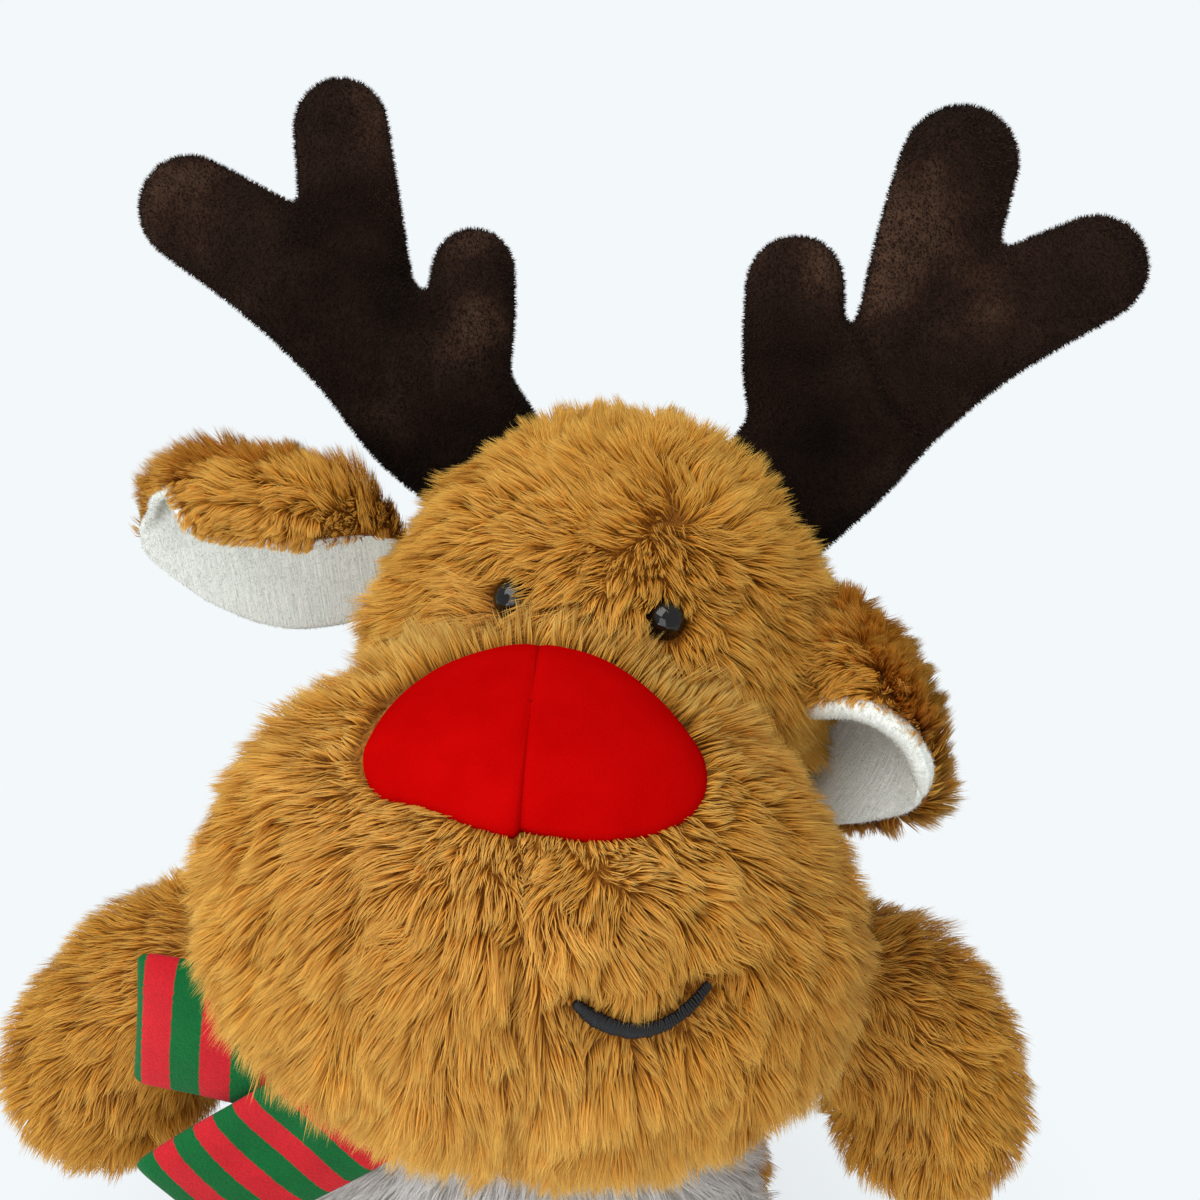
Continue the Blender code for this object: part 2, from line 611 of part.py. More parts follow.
antler_lines = {
    "right": (
        ("beam", ANTLER_BEAM_RIGHT, ANTLER_BEAM_RADII_RIGHT),
        ("top_tine", ANTLER_TOP_TINE_RIGHT, ANTLER_TOP_RADII_RIGHT),
        ("inner_tine", ANTLER_INNER_TINE_RIGHT, ANTLER_INNER_RADII_RIGHT),
    ),
    "left": (
        ("beam", ANTLER_BEAM_LEFT, ANTLER_BEAM_RADII_LEFT),
        ("top_tine", ANTLER_TOP_TINE_LEFT, ANTLER_TOP_RADII_LEFT),
        ("inner_tine", ANTLER_INNER_TINE_LEFT, ANTLER_INNER_RADII_LEFT),
    ),
}
for word, side in SIDES.items():
    tubes = []
    for name, points, radii in antler_lines[word]:
        line = [(side * across, 0.0, up) for across, up in points]
        name = f"antler_{name}_{word}"
        tubes.append(solid(name, stuffed_tube(name, line, radii, 2, 3, ANTLER_FLATNESS_SHARE)))
    beam, *tines = tubes
    whole = evaluated_mesh(boolean(beam, "UNION", *tines))
    pivot = antler_pivot[word]
    for face, low, high in (("front", -GAP / 2, REACH), ("back", -REACH, GAP / 2)):
        away = slab(f"antler_away_{face}_{word}", (-REACH, low, -REACH), (REACH, high, REACH), pivot)
        panel = solid(f"antler_{face}_{word}", whole.copy(), antler_minky, pivot)
        boolean(panel, "DIFFERENCE", away)

# Ears: a fur back with a cupped lining

for word, side in SIDES.items():
    pivot = ear_pivot[word]
    size_share = EAR_SIZE_LEFT_SHARE if side > 0 else 1.0
    length = EAR_LENGTH * size_share
    middle = (side * length / 2, 0.0, 0.0)
    half = (length / 2, EAR_THICKNESS / 2, EAR_WIDTH * size_share / 2)
    root_half = (EAR_ROOT_RADIUS, EAR_THICKNESS / 2, EAR_ROOT_RADIUS)
    out = (middle[0], -EAR_THICKNESS / 2 + LINING_THICKNESS, 0.0)
    inner = added(out, (0.0, -LINING_THICKNESS, 0.0))
    cup_half = (half[0] - LINING_INSET, half[1], half[2] - LINING_INSET)
    ear = solid("ear_" + word, ellipsoid("ear", middle, half, FINE), brown_fur, pivot)
    root = solid("ear_root_" + word, ellipsoid("ear_root", AT_PIVOT, root_half, COARSE), parent=pivot)
    cup = solid("ear_cup_" + word, ellipsoid("ear_cup", out, grown(cup_half, GAP), MIDDLING), parent=pivot)
    cup_mesh = ellipsoid("ear_lining", out, cup_half, MIDDLING)
    lining = solid("ear_lining_" + word, cup_mesh, cream_minky, pivot)
    hollow = solid("ear_hollow_" + word, ellipsoid("ear_hollow", inner, cup_half, MIDDLING), parent=pivot)
    boolean(ear, "UNION", root)
    boolean(ear, "DIFFERENCE", cup)
    boolean(lining, "DIFFERENCE", hollow)

# Arms and legs, each leg with its foot and a sole patch

floor = slab("floor", (-REACH, -REACH, -REACH), (REACH, REACH, 0.0))
for word, side in SIDES.items():
    bone, radii = (ARM_BONE_LEFT, ARM_RADII_LEFT) if side > 0 else (ARM_BONE_RIGHT, ARM_RADII_RIGHT)
    solid("arm_" + word, stuffed_tube("arm_" + word, bone, radii, 3, 4), brown_fur, shoulder[word])

    pivot = hip[word]
    bone = [mirrored(point, side) for point in LEG_BONE]
    leg = solid("leg_" + word, stuffed_tube("leg_" + word, bone, LEG_RADII, 2, 4), brown_fur, pivot)
    place = mirrored(FOOT_PLACE, side)
    foot = solid("foot_" + word, ellipsoid("foot", place, FOOT_HALF, FINE), parent=pivot)
    front = place[1] - FOOT_HALF[1] + SOLE_DEPTH
    ahead = slab("ahead_of_sole_" + word, (-REACH, front - REACH, -REACH), (REACH, front, REACH), pivot)
    boolean(leg, "UNION", foot)
    boolean(leg, "DIFFERENCE", ahead, floor)
    sole = solid("sole_" + word, ellipsoid("sole", place, FOOT_HALF, FINE), cream_minky, pivot)
    inside = front - GAP
    outside = inside - SOLE_THICKNESS
    behind = slab("behind_sole_" + word, (-REACH, inside, -REACH), (REACH, inside + REACH, REACH), pivot)
    before = slab("before_sole_" + word, (-REACH, outside - REACH, -REACH), (REACH, outside, REACH), pivot)
    boolean(sole, "DIFFERENCE", behind, before, floor)

# Tail: an upper and an under panel

tail_seam = empty("tail_seam", (0.0, 0.0, 0.0), turned(TAIL_SEAM_ANGLE, "X"), tail_pivot)
for face, low, high, skin in (("upper", -REACH, GAP / 2, brown_fur), ("under", -GAP / 2, REACH, white_fur)):
    away = slab(f"tail_away_{face}", (-REACH, -REACH, low), (REACH, REACH, high), tail_seam)
    panel = solid(f"tail_{face}", stuffed_tube("tail", TAIL_BONE, TAIL_RADII, 2, 3), skin, tail_pivot)
    boolean(panel, "DIFFERENCE", away)

# Scarf: a band round the neck, a knot and two ends

band_section = bpy.data.curves.new("band_section", "CURVE")
band_section.dimensions = "2D"
section = band_section.splines.new("POLY")
section.points.add(9)
for index, point in enumerate(section.points):
    angle = 2 * math.pi * index / len(section.points)
    point.co = (SCARF_THICKNESS / 2 * math.cos(angle), SCARF_WIDTH / 2 * math.sin(angle), 0.0, 1.0)
section.use_cyclic_u = True
section_guide = solid("band_section", band_section)

left_side = [added(TRUNK_TOP, point) for point in SCARF_LOOP]
loop = left_side + [mirrored(point, -1) for point in left_side[-2:0:-1]]
closed = [loop[-1], *loop, loop[0], loop[1]]
band = bpy.data.curves.new("scarf_band", "CURVE")
band.dimensions = "3D"
band.twist_mode = "Z_UP"
band.bevel_mode = "OBJECT"
band.bevel_object = section_guide
path = band.splines.new("POLY")
run = smooth_run(closed, (1.0,) * len(closed), 3)[3:-4]
path.points.add(len(run) - 1)
for point, (x, y, z, radius) in zip(path.points, run):
    point.co = (x, y, z, 1.0)
path.use_cyclic_u = True
band_mesh = evaluated_mesh(solid("scarf_band", band))
bm = bmesh.new()
bm.from_mesh(band_mesh)
bmesh.ops.remove_doubles(bm, verts=bm.verts, dist=GAP / 10)
wrap = solid("scarf_wrap", mesh_of(bm, "scarf_wrap"), scarf_minky)
knot_centre = added(TRUNK_TOP, KNOT_PLACE)
knot = solid("scarf_knot", ellipsoid("scarf_knot", knot_centre, KNOT_HALF, MIDDLING), scarf_minky)
knot_pocket = pocket("knot_pocket", knot_centre, KNOT_HALF, None, MIDDLING)
boolean(knot, "DIFFERENCE", trunk_clear)
boolean(wrap, "DIFFERENCE", trunk_clear, knot_pocket)


def scarf_end(name, place, length, angle):
    """A flat padded strip that leaves the knot at an angle across the front."""
    bm = bmesh.new()
    bmesh.ops.create_cube(bm, size=1.0)
    for point in bm.verts:
        along, deep, across = point.co
        point.co = ((along + 0.5) * length, deep * SCARF_END_THICKNESS, across * SCARF_END_WIDTH)
    made = solid(name, mesh_of(bm, name), scarf_minky)
    made.matrix_basis = Matrix.Translation(added(knot_centre, place)) @ turned(-angle, "Y")
    round_edge = made.modifiers.new("Round edge", "BEVEL")
    round_edge.width = SCARF_END_THICKNESS * SCARF_EDGE_SHARE
    round_edge.segments = 3
    return boolean(made, "DIFFERENCE", knot_pocket)


scarf_end("scarf_end_upper", UPPER_END_PLACE, UPPER_END_LENGTH, UPPER_END_ANGLE)
scarf_end("scarf_end_lower", LOWER_END_PLACE, LOWER_END_LENGTH, LOWER_END_ANGLE)
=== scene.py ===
import bmesh
import bpy
import math
import numpy as np
from mathutils import Matrix, Vector


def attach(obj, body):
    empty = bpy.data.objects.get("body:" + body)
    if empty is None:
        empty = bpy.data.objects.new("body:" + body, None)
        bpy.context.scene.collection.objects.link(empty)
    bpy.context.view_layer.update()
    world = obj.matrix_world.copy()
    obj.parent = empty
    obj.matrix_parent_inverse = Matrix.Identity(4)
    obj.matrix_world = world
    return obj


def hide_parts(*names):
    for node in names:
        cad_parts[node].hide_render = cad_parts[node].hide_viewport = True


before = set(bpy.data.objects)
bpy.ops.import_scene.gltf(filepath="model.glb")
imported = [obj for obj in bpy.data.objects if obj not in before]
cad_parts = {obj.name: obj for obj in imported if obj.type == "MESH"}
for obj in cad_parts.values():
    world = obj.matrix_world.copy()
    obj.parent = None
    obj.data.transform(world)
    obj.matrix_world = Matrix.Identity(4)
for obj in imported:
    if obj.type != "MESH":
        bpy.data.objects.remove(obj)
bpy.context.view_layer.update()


# Trunk: a stuffed pear of plush, two brown back panels, a brown seat and a white belly panel
# sewn edge to edge over fibre and a bag of pellets. Each panel is backing cloth 2.6 mm thick,
# turned in at its seams, and its pile stands on it as fibre that is combed down.

TRUNK_HEIGHT = 0.214
TRUNK_HALF_WIDTH = 0.086
TRUNK_HALF_DEPTH = 0.069
TRUNK_OUTLINE = np.array([
    (0, 1), (.20, .997), (.37, .968), (.46, .905), (.535, .840), (.645, .750), (.780, .640),
    (.90, .520), (.98, .390), (1.00, .270), (.965, .140), (.87, .048), (.72, 0), (0, 0)])
SIDE_SEAM_Y = -0.006
SEAT_SEAM_HEIGHT = 0.0048
BACKING = 0.0026
GAP = 0.0003
SIDES = {"right": -1, "left": 1}


def moved(x, y, z):
    return np.array(Matrix.Translation((x, y, z)))


def turned(degrees, axis):
    return np.array(Matrix.Rotation(math.radians(degrees), 4, axis))


def placed(points, matrix):
    """Points carried by a 4 x 4 matrix."""
    return points @ matrix[:3, :3].T + matrix[:3, 3]


def unit(rows):
    return rows / np.maximum(np.linalg.norm(rows, axis=-1, keepdims=True), 1e-12)


def smooth_line(rows, steps):
    """A Catmull-Rom curve through the rows: each cubic piece is worked out at all its steps at once."""
    rows = np.asarray(rows, float)
    rows = np.vstack([rows[:1], rows, rows[-1:]])
    a, b, c, d = (rows[i:len(rows) - 3 + i, None] for i in range(4))
    t = np.linspace(0, 1, steps, endpoint=False)[None, :, None]
    curve = (2 * b + t * (c - a + t * (2 * a - 5 * b + 4 * c - d + t * (3 * b - a - 3 * c + d)))) / 2
    return np.vstack([curve.reshape(-1, rows.shape[1]), rows[-1:]])


def ball(matrix, half):
    """An ellipsoid to keep clear of: the matrix that takes the world to its unit ball, a gap larger."""
    size = np.diag([*(np.array(half) + GAP), 1.0])
    return np.linalg.inv(np.asarray(matrix) @ size)


def cut_back(centre, points, others):
    """Each point drawn back along its line from the centre, to where that line first meets a ball."""
    share = np.ones(points.shape[:-1])
    for other in others:
        start = placed(np.asarray(centre, float), other)
        way = placed(points, other) - start
        a = (way ** 2).sum(-1)
        b = (way * start).sum(-1)
        c = (start ** 2).sum() - 1.0
        inside = b * b - a * c
        hit = (-b - np.sqrt(np.maximum(inside, 0))) / a
        met = (inside > 0) & (b < 0) & (hit > 0)
        share = np.where(met, np.minimum(share, hit), share)
    return centre + (points - centre) * share[..., None]


def grid_faces(rows, columns, closed=False):
    """Quads between the neighbours of a grid, the last column joined to the first if it is closed."""
    index = np.arange(rows * columns).reshape(rows, columns)
    if closed:
        index = np.hstack([index, index[:, :1]])
    return np.stack([index[:-1, :-1], index[:-1, 1:], index[1:, 1:], index[1:, :-1]], -1).reshape(-1, 4)


def mesh_object(name, points, loops, sizes, values=None, normals=None):
    """A mesh from flat arrays: points, the corners of all faces in a row, and each face's corner count.
    The values are one pair a point, put on the corners as the map that the colours read."""
    mesh = bpy.data.meshes.new(name)
    mesh.vertices.add(len(points))
    mesh.vertices.foreach_set("co", np.asarray(points, np.float32).ravel())
    mesh.loops.add(len(loops))
    mesh.loops.foreach_set("vertex_index", np.asarray(loops, np.int32))
    starts = np.concatenate([[0], np.cumsum(sizes)[:-1]])
    mesh.polygons.add(len(sizes))
    mesh.polygons.foreach_set("loop_start", starts.astype(np.int32))
    mesh.update(calc_edges=True)
    if values is not None:
        layer = mesh.uv_layers.new(name="OFBake")
        layer.data.foreach_set("uv", np.asarray(values, np.float32)[loops].ravel())
    if normals is not None:
        lit = mesh.attributes.new("custom_normal", "FLOAT_VECTOR", "POINT")
        lit.data.foreach_set("vector", np.asarray(normals, np.float32).ravel())
    made = bpy.data.objects.new(name, mesh)
    bpy.context.scene.collection.objects.link(made)
    return made


def sewn(name, points, faces, material, smooth=True, values=None):
    """A closed piece: quads or triangles with their doubles merged and their faces turned outwards."""
    made = mesh_object(name, points, faces.ravel(), np.full(len(faces), faces.shape[1]), values)
    bm = bmesh.new()
    bm.from_mesh(made.data)
    bmesh.ops.remove_doubles(bm, verts=bm.verts, dist=2e-5)
    bmesh.ops.dissolve_degenerate(bm, edges=bm.edges, dist=1e-6)
    bmesh.ops.recalc_face_normals(bm, faces=bm.faces)
    for face in bm.faces:
        face.smooth = smooth
    bm.to_mesh(made.data)
    bm.free()
    made.data.materials.append(material)
    return made


def panel(name, outer, inner, material, closed=False, values=None):
    """Cloth between an outer and an inner grid, walled round the rim where the grid is open."""
    rows, columns = outer.shape[:2]
    points = np.concatenate([outer.reshape(-1, 3), inner.reshape(-1, 3)])
    face = grid_faces(rows, columns, closed)
    index = np.arange(rows * columns).reshape(rows, columns)
    rims = [index[0], index[-1]] if closed else [index[0], index[-1], index[:, 0], index[:, -1]]
    parts = [face, face[:, ::-1] + rows * columns]
    for rim in rims:
        rim = np.append(rim, rim[0]) if closed else rim
        parts.append(np.stack([rim[:-1], rim[1:], rim[1:] + rows * columns, rim[:-1] + rows * columns], -1))
    values = None if values is None else np.tile(values.reshape(-1, 2), (2, 1))
    return sewn(name, points, np.concatenate(parts), material, values=values)


def rings_sewn(name, grid, material, values=None):
    """A closed piece from a grid of rings, each joined round to its own start."""
    values = None if values is None else values.reshape(-1, 2)
    return sewn(name, grid.reshape(-1, 3), grid_faces(*grid.shape[:2], True), material, values=values)


def dressed(piece, body, fill, slot, *nodes):
    """A stuffed piece on its body, in place of the solids that it stands for. Its finish's slot is not used."""
    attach(piece, body)
    if nodes:
        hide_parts(*nodes)


def around(count):
    """One full turn in even steps, as a row."""
    return np.linspace(0, 2 * math.pi, count, endpoint=False)[None]


def colour(red, green, blue):
    """A colour written 0 to 255 as the eye sees it, made linear for a shader."""
    share = np.array([red, green, blue]) / 255.0
    linear = np.where(share > 0.04045, ((share + 0.055) / 1.055) ** 2.4, share / 12.92)
    return (*linear.tolist(), 1.0)


class Finish:
    """A material's nodes, wired as it is built up, round one Principled shader."""

    def __init__(self, name, roughness, specular=0.3, sheen=0.0):
        self.material = bpy.data.materials.new(name)
        self.material.use_nodes = True
        self.tree = self.material.node_tree
        self.shader = self.tree.nodes["Principled BSDF"]
        self.shader.inputs["Roughness"].default_value = roughness
        self.shader.inputs["Specular IOR Level"].default_value = specular
        self.shader.inputs["Sheen Weight"].default_value = sheen
        self.shader.inputs["Sheen Roughness"].default_value = 0.5

    def node(self, kind, **values):
        made = self.tree.nodes.new(kind)
        for name, value in values.items():
            if name in made.bl_rna.properties:
                setattr(made, name, value)
            else:
                made.inputs[name.replace("_", " ")].default_value = value
        return made

    def link(self, start, end):
        self.tree.links.new(start, end)

    def here(self):
        return self.node("ShaderNodeTexCoord").outputs["Object"]

    def own_map(self):
        """The piece's own map: a fibre's tone and height, or the places across and along a cloth."""
        return self.node("ShaderNodeUVMap", uv_map="OFBake").outputs["UV"]

    def parts_of(self, vector):
        split = self.node("ShaderNodeSeparateXYZ")
        self.link(vector, split.inputs["Vector"])
        return split.outputs

    def noise(self, scale, detail=2.0, stretch=None):
        """Noise by the piece's own place, in cells to the metre."""
        made = self.node("ShaderNodeTexNoise", Scale=scale, Detail=detail)
        place = self.here()
        if stretch:
            mapping = self.node("ShaderNodeMapping")
            mapping.inputs["Scale"].default_value = stretch
            self.link(place, mapping.inputs["Vector"])
            place = mapping.outputs["Vector"]
        self.link(place, made.inputs["Vector"])
        return made.outputs["Fac"]

    def ramp(self, factor, *stops):
        """Colours or greys along a factor: pairs of place and colour."""
        made = self.node("ShaderNodeValToRGB")
        marks = made.color_ramp.elements
        while len(marks) < len(stops):
            marks.new(0.5)
        for mark, (place, tint) in zip(marks, stops):
            mark.position = place
            mark.color = tint if hasattr(tint, "__len__") else (tint, tint, tint, 1.0)
        self.link(factor, made.inputs["Fac"])
        return made.outputs["Color"]

    def cloud(self, scale, detail, dark, light):
        """Soft patches of two tones."""
        return self.ramp(self.noise(scale, detail), (0.3, dark), (0.7, light))

    def mix(self, kind, share, first, second):
        made = self.node("ShaderNodeMix", data_type="RGBA", blend_type=kind)
        for socket, value in zip((made.inputs[0], made.inputs[6], made.inputs[7]), (share, first, second)):
            if hasattr(value, "is_linked"):
                self.link(value, socket)
            else:
                socket.default_value = value
        return made.outputs[2]

    def times(self, first, second):
        return self.mix("MULTIPLY", 1.0, first, second)

    def paint(self, tint):
        self.link(tint, self.shader.inputs["Base Color"])

    def blend_in(self, other, share):
        """The surface's shader mixed with another, by a fixed share or a node's."""
        both = self.node("ShaderNodeMixShader")
        if hasattr(share, "is_linked"):
            self.link(share, both.inputs["Fac"])
        else:
            both.inputs["Fac"].default_value = share
        self.link(self.shader.outputs[0], both.inputs[1])
        self.link(other.outputs[0], both.inputs[2])
        self.link(both.outputs[0], self.tree.nodes["Material Output"].inputs["Surface"])

    def bump(self, height, depth, strength=1.0):
        made = self.node("ShaderNodeBump", Strength=strength, Distance=depth)
        self.link(height, made.inputs["Height"])
        self.link(made.outputs["Normal"], self.shader.inputs["Normal"])


LIGHT_THROUGH_FIBRE = 0.38


def fibre_finish(name, root, middle, tip, patches, roughness=0.6, sheen=0.15, shade=None):
    """Dyed fibre: its colour runs from root to tip, each fibre has its own tone, and broad patches vary.
    A shade, where one is given, multiplies painted light and shade into the colour. Some of the light
    that falls on a fibre's far side comes through it."""
    made = Finish(name, roughness, 0.25, sheen)
    own = made.parts_of(made.own_map())
    along = made.ramp(own["Y"], (0.0, root), (0.45, middle), (1.0, tip))
    toned = made.times(along, made.ramp(own["X"], (0.0, 0.72), (0.55, 1.0), (1.0, 1.22)))
    toned = made.times(toned, made.cloud(38.0, 3.0, patches, 1.0))
    toned = toned if shade is None else made.times(toned, shade(made))
    made.paint(toned)
    through = made.node("ShaderNodeBsdfTranslucent")
    made.link(toned, through.inputs["Color"])
    made.blend_in(through, LIGHT_THROUGH_FIBRE)
    return made.material


def backing_finish(name, dark, light):
    """The cloth under the pile, seen between fibres as short dark underfur."""
    made = Finish(name, 0.9, 0.1, 0.1)
    made.paint(made.cloud(900.0, 4.0, dark, light))
    made.bump(made.noise(900.0, 4.0), 0.0012)
    return made.material


brown_fibre = fibre_finish("brown_fibre", colour(154, 92, 14), colour(230, 165, 54), colour(251, 211, 108),
                           (0.86, 0.80, 0.70, 1.0), 0.55, 0.03)
brown_backing = backing_finish("brown_backing", colour(112, 64, 10), colour(166, 106, 26))
white_fibre = fibre_finish("white_fibre", colour(214, 210, 204), colour(242, 240, 238), colour(252, 252, 252),
                           (0.95, 0.94, 0.93, 1.0))
white_backing = backing_finish("white_backing", colour(200, 195, 188), colour(228, 224, 219))


def corner_normals(points, faces):
    """Each point's normal: the faces' own, added up at the points that they share."""
    a, b, c, d = (points[faces[:, i]] for i in range(4))
    face = np.cross(c - a, d - b)
    total = np.zeros_like(points)
    for i in range(4):
        np.add.at(total, faces[:, i], face)
    return unit(total)


def drifting(points, cell, seed):
    """A smooth field from about -1 to 1: the mean of sines along eight random ways, of about the cell's length."""
    rng = np.random.default_rng(seed + 500)
    waves = unit(rng.normal(0, 1, (8, 3))) * rng.uniform(0.7, 1.5, (8, 1)) * math.pi / cell
    return np.sin(points @ waves.T + rng.uniform(0, 2 * math.pi, 8)).sum(1) / 2.6


def grow_pile(name, outer, count, length, comb, keep, body, material, seed,
              lay=0.62, width=0.00036, tuft=0.0028, closed=False, out=None, shares=None, lift=0.4):
    """Pile on a grid: each fibre is a ribbon that starts along the skin's normal and bends towards the
    comb's way on an arc, and narrows to its tip. Fibres of one small cell, and less so of one large cell,
    draw towards one of their own, which makes tufts. keep gives each root's share of the length. A fibre
    is lit half as the skin under it and half by its own lie, so that the pile reads as one soft body."""
    rng = np.random.default_rng(seed)
    rows, columns = outer.shape[:2]
    points = outer.reshape(-1, 3)
    faces = grid_faces(rows, columns, closed)
    normals = corner_normals(points, faces)
    middle = points.mean(0) if out is None else np.asarray(out, float)
    if ((points - middle) * normals).sum() < 0:
        normals = -normals
    a, b, c, d = (points[faces[:, i]] for i in range(4))
    area = (np.linalg.norm(np.cross(b - a, c - a), axis=1) + np.linalg.norm(np.cross(c - a, d - a), axis=1)) / 2
    picked = rng.choice(len(faces), count, p=area / area.sum())
    u, v = rng.random((2, count, 1))
    corners = faces[picked]

    def across(values):
        first, second, third, fourth = (values[corners[:, i]] for i in range(4))
        return (first * (1 - u) + second * u) * (1 - v) + (fourth * (1 - u) + third * u) * v

    root = across(points)
    normal = unit(across(normals))
    share = keep(root, normal)
    if shares is not None:
        share = share * across(shares.reshape(-1, 1))[:, 0]
    standing = share > 0.04
    root, normal, share = root[standing], normal[standing], share[standing]
    count = len(root)
    long = length * share * rng.uniform(0.72, 1.12, count)
    way = comb(root, normal)
    way = unit(way - (way * normal).sum(1, keepdims=True) * normal)
    side = np.cross(normal, way)
    drift = drifting(root, 0.011, seed) + 0.5 * drifting(root, 0.005, seed + 7)
    swing = rng.normal(0, 0.20, (count, 1)) + 0.45 * drift[:, None]
    long = long * (1 + 0.16 * drifting(root, 0.007, seed + 3))
    way = way * np.cos(swing) + side * np.sin(swing)
    side = np.cross(normal, way)
    tilt = np.clip((lay(root) if callable(lay) else lay) * rng.uniform(0.75, 1.2, count), 0.05, 1.0)[:, None]
    levels = np.array([0, 0.52, 1.0])
    start = np.radians(42) * tilt
    bend = np.radians(52) * tilt
    turn = start + bend * levels[:, None, None]
    rise, run = (np.sin(turn) - np.sin(start)) / bend, (np.cos(start) - np.cos(turn)) / bend
    path = root + long[:, None] * (normal * rise + way * run)
    for cell, pull in ((tuft, 0.5), (tuft * 2.6, 0.3)):
        warped = root + 0.35 * cell * np.sin(root[:, [1, 2, 0]] * (2.1 / cell) + seed)
        key = np.floor(warped / cell).astype(np.int64) @ np.array([1, 4099, 16785407])
        leader, member = np.unique(key, return_index=True, return_inverse=True)[1:]
        lead = leader[member.ravel()]
        draw = pull * levels[:, None, None] ** 1.4
        path = path + (path[:, lead] - path) * draw
    roll = rng.uniform(-0.8, 0.8, (count, 1))
    broad = width * rng.uniform(0.75, 1.25, count)[:, None]
    taper = np.interp(levels, [0, 0.3, 0.8, 1.0], [0.9, 1.0, 0.55, 0.0])
    along = np.gradient(path, axis=0)
    flat = unit(np.cross(along, normal[None]))
    edge = flat * np.cos(roll) + unit(np.cross(along, flat)) * np.sin(roll)
    tone = rng.random(count)
    lie = unit(along)
    lit = unit(normal + 0.9 * (normal - (normal * lie).sum(2, keepdims=True) * lie) + [0.0, -0.3 * lift, lift])
    half = edge * broad * taper[:, None, None] / 2
    strip = np.stack([path[0] - half[0], path[0] + half[0], path[1] - half[1], path[1] + half[1], path[2]], 1)
    value = np.empty((count, 5, 2))
    value[..., 0] = tone[:, None]
    value[..., 1] = levels[[0, 0, 1, 1, 2]]
    loops = (np.arange(count)[:, None] * 5 + [0, 1, 3, 2, 2, 3, 4]).ravel()
    made = mesh_object(name, strip.reshape(-1, 3), loops, np.tile([4, 3], count), value.reshape(-1, 2),
                       lit[[0, 0, 1, 1, 2]].transpose(1, 0, 2).reshape(-1, 3))
    made.data.materials.append(material)
    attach(made, body)


outline = smooth_line(TRUNK_OUTLINE[1:-1], 6)
outline = np.vstack([TRUNK_OUTLINE[:1], outline, TRUNK_OUTLINE[-1:]])
outline[:, 1] = np.clip(outline[:, 1], 0, 1)
trunk_centre = np.array([0, 0, TRUNK_HEIGHT / 2])
NECK_PIVOT = (0.008, -0.001, 0.237)
NECK_RADIUS = 0.038
SHOULDER_RADIUS = 0.0275
LEG_RADII = (0.031, 0.0325, 0.0325, 0.0335)
TAIL_RADII = (0.0100, 0.0120, 0.0140, 0.0105)
neck_pivot = moved(*NECK_PIVOT)
shoulder = {"right": moved(-0.0620, 0.004, 0.1595), "left": moved(0.0632, 0.006, 0.1585)}
hip = {word: moved(side * 0.058, -0.0565, 0.0335) for word, side in SIDES.items()}
tail_pivot = moved(0.0, 0.0703, 0.052)
trunk_balls = [ball(neck_pivot, (NECK_RADIUS,) * 3), ball(tail_pivot, (TAIL_RADII[0],) * 3)]
trunk_balls += [ball(shoulder[word], (SHOULDER_RADIUS,) * 3) for word in SIDES]
trunk_balls += [ball(hip[word], (LEG_RADII[0],) * 3) for word in SIDES]


def trunk_grid(first, last, low, high, columns, rows):
    """The pear between two turns about Z and two heights: its outline's across and up, swept as an ellipse.
    The turns are given at each row as functions of the row's share of the full width."""
    height = outline[:, 1]
    order = np.argsort(height)
    run = outline[order]
    within = (run[:, 1] > low) & (run[:, 1] < high)
    ends = [[np.interp(h, run[:, 1], run[:, 0]), h] for h in (low, high)]
    line = np.vstack([ends[0], run[within], ends[1]])
    span = np.concatenate([[0], np.cumsum(np.linalg.norm(np.diff(line, axis=0), axis=1))])
    even = np.linspace(0, span[-1], rows)
    wide = np.interp(even, span, line[:, 0])
    up = np.interp(even, span, line[:, 1])
    start, end = first(wide), last(wide)
    angle = start[:, None] + (end - start)[:, None] * np.linspace(0, 1, columns)
    grid = np.stack([TRUNK_HALF_WIDTH * wide[:, None] * np.cos(angle),
                     TRUNK_HALF_DEPTH * wide[:, None] * np.sin(angle),
                     np.broadcast_to(TRUNK_HEIGHT * up[:, None], angle.shape)], -1)
    return cut_back(trunk_centre, grid, trunk_balls)


def turned_in(grid, centre, edges, depth=0.0011, reach=0.0035):
    """A panel's grid sunk towards the centre near the edges that are seams."""
    away = np.full(grid.shape[:2], 1.0)
    for edge in edges:
        line = {"first": grid[:, :1], "last": grid[:, -1:], "low": grid[:1], "high": grid[-1:]}[edge]
        away = np.minimum(away, np.linalg.norm(grid - line, axis=-1))
    return grid + unit(centre - grid) * (depth * np.exp(-(away / reach) ** 2))[..., None]


def seam_turn(wide):
    return np.arcsin(np.clip(SIDE_SEAM_Y / TRUNK_HALF_DEPTH / np.maximum(wide, 1e-3), -1, 1))


seat_share = SEAT_SEAM_HEIGHT / TRUNK_HEIGHT
trunk_skin = {}
for name, first, last, backing, slot in (
        ("belly_panel", lambda wide: math.pi - seam_turn(wide), lambda wide: 2 * math.pi + seam_turn(wide),
         white_backing, "white_fur"),
        ("back_panel_right", lambda wide: np.full_like(wide, math.pi / 2), lambda wide: math.pi - seam_turn(wide),
         brown_backing, "brown_fur"),
        ("back_panel_left", seam_turn, lambda wide: np.full_like(wide, math.pi / 2), brown_backing, "brown_fur")):
    grid = turned_in(trunk_grid(first, last, seat_share, 1.0, 48, 60), trunk_centre, ("first", "last", "low"))
    trunk_skin[name] = grid
    inner = grid + unit(trunk_centre - grid) * BACKING
    dressed(panel(name.replace("_panel", "_cloth"), grid, inner, backing), "trunk", 0.8, slot, name)

